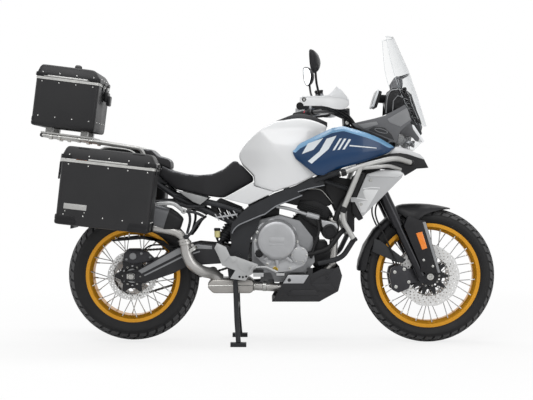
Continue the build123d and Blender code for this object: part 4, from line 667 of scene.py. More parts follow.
# Pressed stainless sheet: the same metal, duller where press and heat have marked it.
box_steel = finish("pressed_stainless_box", "#918F8C", "#B0ADA9", 0.36, 0.8, patch=50, grain=1.6, depth=0.05)
dress(pipe_steel, "exhaust_headers")
softened("exhaust_box", "exhaust_collector", box_steel, 7)
# The link pipe sweeps out past the swingarm and back under the silencer; a clamp joins its halves.
shape = bmesh.new()
run_of(shape, smooth_run([(-226, -92, 316), (-262, -114, 343), (-308, -152, 358), (-354, -178, 392),
                          (-379, -181, 440), (-386, -182, 488), (-398, -184, 516)], 6), 27, 20)
run_of(shape, smooth_run([(-392, -183, 506), (-406, -184, 530), (-440, -186, 550), (-490, -188, 560),
                          (-560, -190, 574)], 6), 20, 18)
turned(shape, (-386, -182, 486), (-0.2, 0, 1), [(0, 28), (2, 30.5), (14, 30.5), (16, 28)], 28)
turned(shape, (-352, -200, 486), (0, -1, 0), [(-14, 4), (10, 4), (12, 7), (18, 7)], 10)
link = make_piece("link_pipe", shape, pipe_steel, smooth=50)
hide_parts("silencer")
# The silencer's sleeve: bead-blasted stainless, rolled to a rounded oblong, between two dark caps.
can_grey = finish("bead_blasted_silencer", "#58595B", "#66676A", 0.42, 0.5, patch=60, grain=1.2, depth=0.05)
can_front, can_rear = Vector((-412, -176, 588)), Vector((-810, -176, 716))
can_axis = (can_rear - can_front).normalized()
can_up = can_axis.cross(Vector((0, 1, 0))).normalized()
can_length = (can_rear - can_front).length


def oblong(shape, along, wide, tall, corner):
    """A rounded oblong across the silencer, at a distance from its front."""
    ring = []
    for sy, sz, start in ((1, 1, 0), (-1, 1, 90), (-1, -1, 180), (1, -1, 270)):
        for k in range(7):
            a = radians(start + 15 * k)
            y = sy * (wide / 2 - corner) + corner * cos(a)
            z = sz * (tall / 2 - corner) + corner * sin(a)
            ring.append(shape.verts.new(MM * (can_front + can_axis * along + Vector((0, y, 0)) + can_up * z)))
    return ring


for label, rows, material in (("sleeve", [(58, 85, 111, 35), (60, 87, 113, 36),
                                          (can_length - 42, 87, 113, 36), (can_length - 40, 85, 111, 35)],
                               can_grey), ("nose", [(-10, 44, 50, 20), (-2, 60, 66, 26), (26, 76, 94, 32),
                                                    (56, 86, 112, 36), (60, 88, 114, 36),
                                                    (66, 88, 114, 36)], guard_nylon),
                              ("tail", [(can_length - 46, 88.5, 114.5, 36), (can_length - 36, 88, 114, 36),
                                        (can_length - 6, 74, 96, 30), (can_length, 66, 86, 28),
                                        (can_length, 46, 62, 20), (can_length - 28, 42, 58, 18)], guard_nylon)):
    shape = bmesh.new()
    lofted(shape, [oblong(shape, *row) for row in rows], True, True)
    bmesh.ops.recalc_face_normals(shape, faces=shape.faces)
    can = make_piece(f"silencer_{label}", shape, material)
    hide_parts("silencer")
# Weld beads, the collector's folded seam, band clamps and the silencer's heat shield.
shape = bmesh.new()
run_of(shape, [(-62, -125.8, 285), (-170, -125.8, 287), (-281, -125.8, 285)], 2.6, 8)
turned(shape, (-64, -62, 281), (1, 0, -0.05), [(0, 24), (4, 26), (8, 24)], 28)
turned(shape, (-20, -62, 279), (1, 0, 0), [(0, 22), (2, 25), (18, 25), (20, 22)], 28)
turned(shape, (-352, -173.5, 455), (-0.55, -0.03, 0.84), [(0, 26), (1, 29), (16, 29), (17, 26)], 28)
turned(shape, (-262, -104, 350), (-0.3, -0.8, 0.5), [(0, 26), (3, 28), (6, 26)], 28)
pressed(shape, [(-366, 466), (-344, 480), (-338, 470), (-360, 456)], -198, -212, 2)
make_piece("exhaust_clamps_and_welds", shape, bolt_steel, smooth=40)

# ---------------------------------------------------------------- skid plate
# A sump guard moulded in glass-filled nylon over a steel tray, bolted to lugs on the crankcase. A
# brushed aluminium insert is screwed into each flank.

# Glass-filled nylon: charcoal, coarse in grain and nearly matt, with dust in its pores.
skid_nylon = finish("moulded_skid_nylon", "#28282A", "#323234", 0.46, patch=70, grain=1.2, depth=0.12,
                    specular=0.22)
softened("skid_plate", "skid_plate_moulded", skid_nylon, 4)
# Brushed aluminium: pale, with a soft light drawn out along the brushing.
insert_alloy = finish("brushed_alloy_insert", "#A4A5A8", "#B8B9BB", 0.36, 0.6, patch=40, grain=1, depth=0.04)
for side, hand in SIDES:
    shape = bmesh.new()
    pressed(shape, [(104, 340), (203, 340), (177, 299), (79, 299)], side * 148, side * 152.5, 1.2)
    make_piece(f"skid_insert_{hand}", shape, insert_alloy, smooth=30)
    shape = bmesh.new()
    for outline in ([(206, 340), (262, 366), (326, 370), (300, 345), (250, 330), (212, 300)],
                    [(120, 268), (232, 268), (252, 240), (98, 240)],
                    [(212, 296), (306, 300), (330, 262), (250, 262)]):
        pressed(shape, outline, side * 148, side * 153, 2.4)
    make_piece(f"skid_ribs_{hand}", shape, skid_nylon, smooth=30)
    shape = bmesh.new()
    for x, z in ((109, 315), (292, 326)):
        turned(shape, (x, side * 151, z), (0, side, 0),
               [(0, 8.5), (2.4, 8.5), (3.6, 6.8), (3.6, 3.6), (1.6, 3.4)], 16)
    make_piece(f"skid_screws_{hand}", shape, skid_nylon)

# ---------------------------------------------------------------- chain
# A roller chain of 104 links in oiled steel, riveted endless. Outer and inner plates take turns,
# and every roller sits in a tooth gap of the sprockets it passes.
CHAIN_PITCH = 15.875
REAR_PITCH_R = CHAIN_PITCH / (2 * sin(pi / 44))
DRIVE_PITCH_R = CHAIN_PITCH / (2 * sin(pi / 16))
CHAIN_Y = 88
DRIVE = (-62, 440)
# Oiled chain steel: a dark film over bright metal, so only the plates' edges glint.
chain_steel = finish("oiled_chain_steel", "#353330", "#514E4A", 0.36, 0.8, patch=10, grain=2, depth=0.05)


def chain_places():
    """Pin places round the loop, an even pitch apart, with the direction at each."""
    rear = (REAR_AXLE.x / MM, REAR_AXLE.z / MM)
    span = (DRIVE[0] - rear[0], DRIVE[1] - rear[1])
    rise = atan2(span[1], span[0])
    lean = acos((REAR_PITCH_R - DRIVE_PITCH_R) / hypot(*span))
    tight = hypot(*span) * sin(lean)
    drive_wrap, rear_wrap = 2 * lean, 2 * pi - 2 * lean
    whole = 2 * tight + DRIVE_PITCH_R * drive_wrap + REAR_PITCH_R * rear_wrap
    count = 2 * round(whole / CHAIN_PITCH / 2)
    made = []
    for k in range(count):
        s = whole * k / count
        if s < tight:
            a = rise + lean
            x, z = rear[0] + REAR_PITCH_R * cos(a), rear[1] + REAR_PITCH_R * sin(a)
            made.append((x + s * cos(a - pi / 2), z + s * sin(a - pi / 2)))
            continue
        s -= tight
        if s < DRIVE_PITCH_R * drive_wrap:
            a = rise + lean - s / DRIVE_PITCH_R
            made.append((DRIVE[0] + DRIVE_PITCH_R * cos(a), DRIVE[1] + DRIVE_PITCH_R * sin(a)))
            continue
        s -= DRIVE_PITCH_R * drive_wrap
        if s < tight:
            a = rise - lean
            x, z = DRIVE[0] + DRIVE_PITCH_R * cos(a), DRIVE[1] + DRIVE_PITCH_R * sin(a)
            made.append((x + s * cos(a - pi / 2), z + s * sin(a - pi / 2)))
            continue
        s -= tight
        a = rise - lean - s / REAR_PITCH_R
        made.append((rear[0] + REAR_PITCH_R * cos(a), rear[1] + REAR_PITCH_R * sin(a)))
    return made


shape = bmesh.new()
pins = chain_places()
for k, (x, z) in enumerate(pins):
    nx, nz = pins[(k + 1) % len(pins)]
    flow = atan2(nz - z, nx - x)
    step = hypot(nx - x, nz - z)
    outline = [(-4, 4.0), (0, 5.8), (step * 0.5, 4.2), (step, 5.8), (step + 4, 4.0)]
    outline = outline + [(step + 4, -4.0), (step, -5.8), (step * 0.5, -4.2), (0, -5.8), (-4, -4.0)]
    points = [(x + u * cos(flow) - v * sin(flow), z + u * sin(flow) + v * cos(flow)) for u, v in outline]
    offset = 6.9 if k % 2 else 5.0
    for side in (1, -1):
        near = [shape.verts.new(MM * Vector((px, CHAIN_Y + side * offset, pz))) for px, pz in points]
        far = [shape.verts.new(MM * Vector((px, CHAIN_Y + side * (offset + 1.6), pz))) for px, pz in points]
        lofted(shape, [near, far] if side < 0 else [far, near], True, True)
    turned(shape, (x, CHAIN_Y - 9, z), (0, 1, 0), [(0, 2.4), (18, 2.4)], 8)
    turned(shape, (x, CHAIN_Y - 4.8, z), (0, 1, 0), [(0, 5.0), (9.6, 5.0)], 10)
links = make_piece("chain_links", shape, chain_steel)
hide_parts("chain")

# ---------------------------------------------------------------- swingarm and rear brake
# A cast aluminium swingarm, painted: its lower half satin black, its upper flank silver grey with a
# machined groove between. Chain adjusters close its ends, and it carries the rear caliper.

# Satin paint over a casting: the sand's texture shows through as a slow ripple.
arm_black = finish("painted_cast_arm_black", "#2A2A2C", "#363638", 0.42, 0.1, patch=50, grain=1.5,
                   depth=0.1, specular=0.22)
# Grey metallic paint on a machined flank: smoother, and lighter along the groove.
arm_grey = finish("painted_cast_arm_grey", "#7E8082", "#939496", 0.4, 0.3, patch=50, grain=1.3, depth=0.08)
# Hard anodised aluminium: charcoal, with a metal's tight light and no colour of its own.
caliper_black = finish("hard_anodised_caliper", "#2A2A2D", "#3A3A3E", 0.38, 0.5, patch=20, grain=1.5, depth=0.08)
softened("swingarm", "swingarm_cast", arm_black, 4)
for side, hand in SIDES:
    shape = bmesh.new()
    pressed(shape, [(-618, 358), (-600, 345), (-412, 441), (-330, 464), (-262, 462), (-262, 478),
                    (-330, 485), (-428, 466)], side * 128, side * 132.2, 1.6)
    pressed(shape, [(-590, 338), (-586, 332), (-400, 424), (-320, 448), (-320, 455), (-404, 431)],
            side * 128, side * 132, 0.8)
    make_piece(f"swingarm_flank_{hand}", shape, arm_grey, smooth=30)
    shape = bmesh.new()
    pressed(shape, [(-690, 338), (-684, 348), (-640, 350), (-612, 346), (-610, 316), (-640, 311),
                    (-684, 314), (-690, 324)], side * 129, side * 134, 2.5)
    make_piece(f"axle_slot_{hand}", shape, arm_black)
    shape = bmesh.new()
    pressed(shape, [(-672, 343), (-634, 343), (-634, 319), (-672, 319)], side * 131, side * 136.5, 2)
    turned(shape, (-650, side * 136, 331), (0, side, 0), [(0, 17), (2.4, 17), (3, 14)], 28)
    turned(shape, (-650, side * 138.5, 331), (0, side, 0),
           [(0, 14), (3, 14.4), (10, 14.4), (12, 12), (12, 7), (4, 6.6)], 6)
    turned(shape, (-636, side * 124, 331), (1, 0, 0), [(0, 4.4), (24, 4.4), (24, 8), (32, 8), (33, 6)], 6)
    make_piece(f"chain_adjuster_{hand}", shape, bolt_steel)
softened("rear_caliper", "rear_caliper_body", caliper_black, 3)
shape = bmesh.new()
pressed(shape, [(-694, 404), (-690, 440), (-664, 462), (-610, 462), (-570, 446), (-540, 418), (-548, 398),
                (-604, 396), (-640, 388)], -93, -106, 4)
pressed(shape, [(-694, 404), (-690, 440), (-664, 462), (-610, 462), (-570, 446), (-548, 398), (-604, 396)],
        -72, -84, 4)
pressed(shape, [(-684, 452), (-664, 464), (-612, 464), (-590, 454), (-612, 452), (-664, 453)], -70, -106, 3)
make_piece("rear_caliper_bridge", shape, caliper_black, smooth=30)
shape = bmesh.new()
for x, z, radius in ((-645, 427, 17), (-604, 440, 7), (-676, 412, 6), (-562, 422, 6)):
    turned(shape, (x, -105, z), (0, -1, 0), [(0, radius), (4, radius), (6, radius - 2), (6, radius - 4)], 24)
make_piece("rear_caliper_pistons", shape, arm_grey)
shape = bmesh.new()
run_of(shape, smooth_run([(-600, -100, 452), (-560, -108, 478), (-508, -112, 482), (-440, -112, 476),
                          (-330, -116, 492), (-220, -120, 486)]), 4, 10)
line = make_piece("rear_brake_hose", shape, hose_rubber, smooth=60)
# Chain guards, moulded in black: a strip beside the tyre on either side, screwed to the swingarm.
shape = bmesh.new()
for side, y in ((1, 99), (-1, 83)):
    pressed(shape, [(-756, 506), (-600, 524), (-560, 520), (-512, 486), (-470, 452), (-440, 452),
                    (-500, 500), (-556, 500), (-600, 508), (-745, 497)], side * y, side * (y + 3), 1)
    for x, z in ((-462, 451), (-446, 453)):
        turned(shape, (x, side * (y - 2), z), (0, side, 0), [(0, 3), (0.5, 4.5), (114 - y, 4.5)], 12)
bmesh.ops.recalc_face_normals(shape, faces=shape.faces)
make_piece("chain_guards_moulded", shape, guard_nylon, smooth=40)
# Silver paint over a forging: fine flake spreads the light softly round each edge.
hanger_silver = finish("silver_painted_forging", "#A2A3A4", "#B6B7B7", 0.4, 0.45, patch=60, grain=1.2,
                       depth=0.05)
# The passenger's footrest brackets: bent tube and flat struts bolted to the subframe.
shape = bmesh.new()
struts = bmesh.new()
for side in (1, -1):
    run_of(shape, smooth_run([(-548, side * 228, 678), (-490, side * 232, 684), (-440, side * 230, 682),
                              (-398, side * 222, 652)]), 9, 12)
    turned(shape, (-392, side * 214, 648), (0, side, 0), [(0, 13), (14, 13), (17, 10), (17, 5), (12, 4.6)], 20)
    for path in ([(-392, side * 224, 650), (-368, side * 225, 640), (-362, side * 226, 600),
                  (-376, side * 222, 540)], [(-306, side * 176, 612), (-330, side * 200, 590),
                                             (-358, side * 218, 545), (-380, side * 222, 520)],
                 [(-392, side * 222, 648), (-340, side * 200, 640), (-300, side * 178, 622)]):
        run_of(struts, smooth_run(path), 6.5, 10, 0.6)
    turned(struts, (-380, side * 216, 526), (0, side, 0), [(0, 12), (12, 12), (14, 9)], 20)
make_piece("passenger_rest_tubes", shape, hanger_silver, smooth=40)
make_piece("passenger_rest_struts", struts, powder_black, smooth=40)
# Rear brake fluid's cup and the regulator's cast fins, between the frame and the side panel.
# Translucent nylon, yellowed by the fluid behind it.
cup_plastic = finish("translucent_fluid_cup", "#C6BD7C", "#D6CE96", 0.3, patch=20, grain=1, depth=0.02)
shape = bmesh.new()
turned(shape, (-236, -150, 520), (0, 0, 1), [(0, 10), (2, 13), (30, 14), (32, 12)], 20)
make_piece("rear_brake_cup", shape, cup_plastic)
shape = bmesh.new()
turned(shape, (-236, -150, 552), (0, 0, 1), [(0, 15), (2, 15.6), (11, 15.6), (13, 13)], 20)
turned(shape, (-236, -150, 510), (0, 0, 1), [(0, 6), (11, 8)], 14)
run_of(shape, smooth_run([(-236, -150, 512), (-228, -150, 494), (-210, -148, 482), (-196, -146, 470)]), 5, 10)
make_piece("rear_brake_cup_cap", shape, guard_nylon)
shape = bmesh.new()
for k in range(5):
    x = -250 + 22 * k
    pressed(shape, [(x, 632 + 4 * k), (x + 6, 632 + 4 * k), (x + 26, 600 + 4 * k), (x + 20, 600 + 4 * k)],
            -142, -150, 1)
pressed(shape, [(-246, 618), (-140, 634), (-138, 626), (-244, 610)], -138, -146, 1)
make_piece("regulator_fins", shape, insert_alloy, smooth=30)
dress(caliper_black, "shock_absorber")
# The shock absorber's spring: chrome-vanadium wire, painted, over the damper's body.
# Painted spring wire: dark grey, with a thin bright line on each coil.
spring_paint = finish("painted_spring_steel", "#3A3B3D", "#4C4D50", 0.34, 0.4, patch=20, grain=1, depth=0.03)
shape = bmesh.new()
shock_foot, shock_top = Vector((-228, 0, 480)), Vector((-132, 0, 625))
flow = (shock_top - shock_foot).normalized()
side = Vector((0, 1, 0))
other = flow.cross(side)
coil = []
for k in range(150):
    share = k / 149
    a = 2 * pi * 7.5 * share
    coil.append(shock_foot + flow * (30 + 112 * share) + side * cos(a) * 33 + other * sin(a) * 33)
run_of(shape, coil, 5, 8)
make_piece("shock_spring", shape, spring_paint, smooth=60)

# ---------------------------------------------------------------- footrests and stands
# Forged aluminium hanger plates, silver painted, with serrated pegs under rubber pads. Both stands
# are welded steel tube, powder coated.

# Moulded pad rubber: flat black, which hides every small edge.
pad_rubber = finish("moulded_pad_rubber", "#19191A", "#232324", 0.62, patch=20, grain=1.2, depth=0.1,
                    specular=0.22)
softened("footrests", "footrest_hangers", hanger_silver, 2)
shape = bmesh.new()
pads = bmesh.new()
dark = bmesh.new()
for side in (1, -1):
    for x, z in ((-158, 416), (-59, 373)):
        turned(shape, (x, side * 213, z), (0, side, 0),
               [(0, 15), (3, 15), (4, 12), (4, 9), (8, 9), (9, 7), (9, 4)], 20)
    # Three dark discs on each hanger plate stand for its holes: painted shade.
    for x, z in ((-128, 336), (-112, 334), (-96, 337)):
        turned(dark, (x, side * 213.2, z), (0, side, 0), [(0, 5.5), (1.4, 5.5), (1.4, 4)], 14)
    pressed(shape, [(-230, 490), (-197, 474), (-176, 430), (-206, 402), (-222, 432), (-240, 472)],
            side * 212, side * 217, 2)
    pressed(shape, [(-140, 425), (-60, 394), (-92, 350), (-138, 380)], side * 212, side * 216, 2)
    y0, y1 = sorted((side * 222, side * 312))
    pressed(pads, [(-64, 363), (-12, 363), (-14, 370), (-62, 370)], y1, y0, 1.2)
    for k in range(7):
        y = side * (228 + 12 * k)
        pressed(pads, [(-62, 369), (-14, 369), (-16, 373), (-60, 373)], y + 2.5, y - 2.5, 0.6)
    y0, y1 = sorted((side * 232, side * 278))
    pressed(pads, [(44, 344), (86, 344), (84, 360), (46, 360)], y1, y0, 2)
make_piece("hanger_bolts", shape, hanger_silver)
make_piece("hanger_holes_painted_shade", dark, guard_nylon)
make_piece("footrest_pads", pads, pad_rubber)
dress(powder_black, "centre_stand", "side_stand", "pannier_carriers")

# ---------------------------------------------------------------- fuel tank
# A deep-drawn steel tank under a white painted skin. It is widest ahead of the rider's knees and
# narrows to the seat, with a hollow each side where the knee rests.


def moulded(node, voxel, rounds):
    """A node's solid with its edges flowed round, as a drawn or moulded skin has them.
    Its surface is rebuilt in squares of a size in millimetres and smoothed a number of times."""
    source = bpy.data.objects.new(f"{node}_source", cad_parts[node].data.copy())
    bpy.context.collection.objects.link(source)
    rebuild = source.modifiers.new("rebuild", "REMESH")
    rebuild.mode = "VOXEL"
    rebuild.voxel_size = voxel * MM
    flow = source.modifiers.new("flow", "SMOOTH")
    flow.factor = 0.5
    flow.iterations = rounds
    shape = bmesh.new()
    shape.from_mesh(bpy.data.meshes.new_from_object(
        source.evaluated_get(bpy.context.evaluated_depsgraph_get())))
    bpy.data.objects.remove(source)
    return shape


def swell(shape, centre, reach, amount):
    """Moves the skin along its own normals round a centre: out for a plus amount, in for a minus."""
    shape.normal_update()
    centre = MM * Vector(centre)
    moves = []
    for vert in shape.verts:
        away = vert.co - centre
        near = sum((away[k] / (reach[k] * MM)) ** 2 for k in range(3))
        if near < 9:
            moves.append((vert, vert.normal * amount * MM * 2.718 ** -near))
    for vert, move in moves:
        vert.co += move


# White acrylic enamel over steel: an even, slightly warm white under a clear gloss coat.
enamel = finish("white_enamel_clear_coated", "#D9DADB", "#DFE0E1", 0.3, patch=200, grain=4, depth=0.01,
                Coat_Weight=0.5, Coat_Roughness=0.06)
shape = moulded("fuel_tank", 5, 14)
for side in (1, -1):
    swell(shape, (-50, side * 130, 850), (110, 90, 60), -9)
    swell(shape, (150, side * 160, 1010), (120, 60, 34), -5)
    swell(shape, (110, side * 160, 930), (150, 60, 50), 2)
tank = make_piece("fuel_tank_skin", shape, enamel, smooth=60)
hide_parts("fuel_tank")

# ---------------------------------------------------------------- tank trim
# A strip of grained plastic over the tank's spine, injection moulded and clipped into the tank's
# recess, with the filler cap let into it.

# Grained polypropylene: charcoal, with the fine leather grain of its mould and no gloss.
grained = finish("grained_polypropylene", "#232325", "#303032", 0.55, grain=1.1, depth=0.12, specular=0.22)
softened("tank_trim", "tank_spine_trim", grained, 3)

# ---------------------------------------------------------------- side panels
# Covers below the seat's nose, injection moulded in white ABS and pushed into rubber grommets on
# the frame, with no screw on the outside.

# Gloss ABS: the same white as the tank, moulded in its colour and polished by the mould.
white_abs = finish("gloss_abs_white", "#D8D9DA", "#DEDFE0", 0.3, patch=200, grain=4, depth=0.01)
softened("side_panels", "side_panels_moulded", white_abs, 4)

# ---------------------------------------------------------------- shrouds
# Deep blue ABS shrouds that guide air round the tank, bolted to it on two stand-offs. Their top
# edge turns inwards in a band painted paler blue as a highlight, and a generic slanted graphic is laid on the
# flat.
SHROUD_TOP = [(124, 937), (160, 970), (242, 1010), (310, 1042), (363, 1051), (477, 1019), (535, 997),
              (599, 963), (612, 951)]
SHROUD_FOOT = [(124, 937), (128, 904), (161, 876), (233, 818), (269, 816), (310, 838), (449, 875),
               (581, 922), (612, 951)]
SHROUD_PLAN = [(118, 164), (160, 192), (230, 223), (330, 240), (450, 235), (540, 204), (615, 166)]
BAND_DEPTH = 24


def along(table, x):
    """The value at x between the points of a table, on straight lines."""
    for (x0, v0), (x1, v1) in zip(table[:-1], table[1:]):
        if x <= x1:
            return v0 + (v1 - v0) * max(0, x - x0) / max(x1 - x0, 1e-6)
    return table[-1][1]


def eased(table, x, reach):
    """The value at x with the table's corners rounded over a reach on both sides."""
    steps = [x + reach * k / 4 for k in range(-4, 5)]
    low, high = table[0][0], table[-1][0]
    return sum(along(table, min(max(s, low), high)) for s in steps) / len(steps)


def shroud_y(x, z):
    """How far out the shroud's flat lies, before its edges turn in."""
    top, foot = along(SHROUD_TOP, x), along(SHROUD_FOOT, x)
    middle = (z - foot) / max(top - foot, 1) - 0.45
    return eased(SHROUD_PLAN, x, 40) - 10 * middle * middle


# Gloss ABS in deep blue under lacquer: nearly black blue in the flats, clear blue where light falls.
blue_abs = finish("lacquered_abs_deep_blue", "#0B3156", "#0F3A63", 0.3, patch=200, grain=4, depth=0.01,
                  Coat_Weight=0.3, Coat_Roughness=0.08, specular=0.3)
# The same lacquer in a paler blue on the inturned band: a painted highlight where it faces the sky.
band_blue_painted_highlight = finish("lacquered_abs_blue_band_painted_highlight", "#5F92BA", "#7AA6C9", 0.3, patch=200, grain=4, depth=0.01,
                   Coat_Weight=0.4, Coat_Roughness=0.08)
# Cast vinyl film: a matt white laid over the lacquer, a fifth of a millimetre thick.
film = finish("cast_vinyl_film_white", "#DCE3E8", "#E6ECF0", 0.4, patch=60, grain=3, depth=0.01)
COLUMNS = 40
# share of the height from the top, turn inwards in mm
BAND_ROWS = [(0.0, 22), (0.35, 12), (0.7, 3), (1.0, 0)]
FLAT_ROWS = [(0.0, 0), (0.06, 0), (0.5, 0), (0.9, 0), (0.97, 4), (1.0, 10)]
for side, hand in SIDES:
    xs = [126 + (610 - 126) * k / COLUMNS for k in range(COLUMNS + 1)]
    for part, rows, material in (("band", BAND_ROWS, band_blue_painted_highlight), ("flat", FLAT_ROWS, blue_abs)):
        shape = bmesh.new()
        grid = []
        for x in xs:
            top, foot = along(SHROUD_TOP, x) - 1, along(SHROUD_FOOT, x) + 1
            edge = top - min(BAND_DEPTH, 0.5 * (top - foot))
            high, low = (top, edge) if part == "band" else (edge, foot)
            column = []
            for share, turn in rows:
                z = high + (low - high) * share
                y = shroud_y(x, z) - turn
                column.append(shape.verts.new((x * MM, side * y * MM, z * MM)))
            grid.append(column)
        for near, far in zip(grid[:-1], grid[1:]):
            for k in range(len(rows) - 1):
                shape.faces.new((near[k], near[k + 1], far[k + 1], far[k]))
        bmesh.ops.recalc_face_normals(shape, faces=shape.faces)
        bmesh.ops.solidify(shape, geom=shape.faces[:], thickness=2.5 * MM)
        bmesh.ops.recalc_face_normals(shape, faces=shape.faces)
        skin = make_piece(f"shroud_{part}_{hand}", shape, material, smooth=40)
        if side < 0 and part == "flat":
            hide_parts("shrouds")


def laid_on(name, outline, side, material):
    """A film cut to an (x, z) outline and laid on the shroud, half a millimetre proud and in 10 mm cells."""
    shape = bmesh.new()
    corners = [shape.verts.new((x * MM, 0, z * MM)) for x, z in outline]
    shape.faces.new(corners)
    bmesh.ops.triangulate(shape, faces=shape.faces[:])
    xs, zs = [x for x, z in outline], [z for x, z in outline]
    for start, stop, normal in ((min(xs), max(xs), (1, 0, 0)), (min(zs), max(zs), (0, 0, 1))):
        place = start + 10
        while place < stop:
            bmesh.ops.bisect_plane(shape, geom=shape.verts[:] + shape.edges[:] + shape.faces[:],
                                   plane_co=Vector(normal) * place * MM, plane_no=normal)
            place += 10
    for vert in shape.verts:
        x, z = vert.co.x / MM, vert.co.z / MM
        vert.co.y = side * (shroud_y(x, z) + 0.5) * MM
    bmesh.ops.recalc_face_normals(shape, faces=shape.faces)
    make_piece(name, shape, material, smooth=60)


# Two solid slashes and three thin ones, leaning with the bodywork's lines.
GRAPHIC = [
    [(196, 968), (268, 993), (222, 938), (168, 918)],
    [(284, 990), (330, 1004), (292, 940), (214, 872), (196, 884), (250, 930)],
    [(345, 990), (356, 992), (322, 936), (311, 934)],
    [(366, 990), (377, 990), (345, 938), (334, 936)],
    [(388, 988), (399, 986), (369, 940), (358, 938)],
    [(392, 960), (520, 948), (523, 944), (391, 954)],
]
for side, hand in SIDES:
    for index, outline in enumerate(GRAPHIC):
        laid_on(f"shroud_film_{hand}_{index}", outline, side, film)

# ---------------------------------------------------------------- seats
# Moulded foam on plastic bases under stretched vinyl: smooth down the flanks, with a grained panel
# along the top that keeps the rider from sliding, painted paler as a highlight. Hooks under the frame rails hold
# them down.

# Vinyl of the flanks: near black, a dull gloss, and a fine leather emboss.
flank_vinyl = finish("embossed_vinyl_flank", "#1D1D1F", "#262628", 0.5, patch=60, grain=1.6, depth=0.12,
                     specular=0.22)
# Vinyl of the top panel: the same cover with a coarser grain and a sheen, painted a paler grey as a highlight
# for the light it takes at a slant.
painted_highlight_vinyl = finish("grained_vinyl_seat_top_painted_highlight", "#525357", "#606165", 0.55, patch=60, grain=2.6, depth=0.25,
                   Sheen_Weight=0.3, Sheen_Roughness=0.4)


def padded_seat(node, crowns):
    """A seat's foam under its cover: the solid's form with rounded edges, then swollen where the
    foam is thick. Faces that look up take the top panel's vinyl."""
    shape = moulded(node, 5, 16)
    for centre, reach, amount in crowns:
        swell(shape, centre, reach, amount)
    bmesh.ops.smooth_vert(shape, verts=shape.verts, factor=0.5, use_axis_x=True, use_axis_y=True,
                          use_axis_z=True)
    shape.normal_update()
    # Faces that look up take the paler top vinyl: a painted highlight.
    for face in shape.faces:
        face.material_index = 1 if face.normal.z > 0.5 else 0
    seat = make_piece(f"{node}_cover", shape, flank_vinyl, smooth=70)
    seat.data.materials.append(painted_highlight_vinyl)
    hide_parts(node)


padded_seat("rider_seat", [((-320, 0, 822), (130, 110, 40), -4), ((-200, 70, 820), (70, 50, 60), 4),
                           ((-200, -70, 820), (70, 50, 60), 4), ((-400, 110, 800), (110, 40, 50), 4),
                           ((-400, -110, 800), (110, 40, 50), 4), ((-160, 0, 872), (40, 60, 30), 3)])
padded_seat("pillion_seat", [((-660, 0, 950), (120, 100, 30), 3), ((-500, 0, 890), (40, 80, 40), 4)])

# ---------------------------------------------------------------- tail
# Grained plastic covers round the subframe, clipped at the seams and screwed to its tabs, with
# satin grey panels below the seat's rear edge and a long mudguard that carries the plate.

# Grained plastic moulded in charcoal: a matt even tone that dust has lifted a little.
tail_plastic = finish("moulded_tail_plastic", "#2C2D2F", "#37383A", 0.46, patch=60, grain=1.2, depth=0.1,
                      specular=0.22)
# Satin grey lacquer: a mid tone that parts the black covers.
panel_grey = finish("satin_grey_panel", "#8C8D8E", "#9C9D9D", 0.42, 0.2, patch=60, grain=1.2, depth=0.04)
softened("tail_fairing", "tail_fairing_moulded", tail_plastic, 5)
softened("rear_mudguard", "rear_mudguard_moulded", tail_plastic, 2)
for side, hand in SIDES:
    shape = bmesh.new()
    pressed(shape, [(-434, 748), (-330, 722), (-279, 708), (-318, 676), (-352, 690)], side * 140, side * 150, 2)
    make_piece(f"tail_panel_{hand}", shape, panel_grey, smooth=30)
# Ribbed amber polycarbonate over bright reflectors: a saturated orange, deepest at its edges.
amber = finish("moulded_polycarbonate_amber", "#E87808", "#F58C10", 0.16, patch=20, grain=3, depth=0.1,
               Coat_Weight=0.5, Coat_Roughness=0.04)
softened("signal_lamps", "signal_lamps_moulded", amber, 3)
# The plate holder and its blank plate, held by two screws.
# Blank retroreflective sheet: flat pale grey with a faint texture of beads.
plate_white = finish("blank_retroreflective_sheet", "#D6D8DA", "#E0E2E3", 0.45, patch=60, grain=1, depth=0.02)
shape = bmesh.new()
bmesh.ops.create_cube(shape, size=1)
for vert in shape.verts:
    vert.co = MM * Vector((4 * vert.co.x - 1, 184 * vert.co.y, 124 * vert.co.z))
corners = [edge for edge in shape.edges if abs((edge.verts[0].co - edge.verts[1].co).normalized().x) > 0.9]
bmesh.ops.bevel(shape, geom=corners, offset=8 * MM, segments=4, profile=0.5, affect="EDGES")
shape.transform(Matrix.Translation(MM * Vector((-941, 0, 655))) @ Matrix.Rotation(atan2(20, 150), 4, "Y"))
make_piece("blank_plate", shape, plate_white, smooth=30)

# ---------------------------------------------------------------- crash bars and racks
# Bent steel tube, 25 mm thick, in silver powder coat: bars from the engine's lugs round the tank,
# a rear rack over the tail, and black caps over the tubes' open ends.

# Silver powder coat: a warm pale grey whose fine flake runs a broad light down each tube.
bar_silver = finish("silver_powder_coated_tube", "#A6A6A4", "#B8B8B6", 0.36, 0.5, patch=60, grain=1.2,
                    depth=0.05)
dress(bar_silver, "rear_rack")


def bent(points, radius):
    """Points along a tube through the given corners, each bent round to a radius in millimetres."""
    points = [Vector(p) for p in points]
    run = [points[0]]
    for before, corner, after in zip(points, points[1:], points[2:]):
        back, on = (before - corner).normalized(), (after - corner).normalized()
        reach = min(radius, 0.45 * (before - corner).length, 0.45 * (after - corner).length)
        for k in range(7):
            t = k / 6
            run.append(corner + back * reach * (1 - t) ** 2 + on * reach * t * t)
    run.append(points[-1])
    return [tuple(p) for p in run]


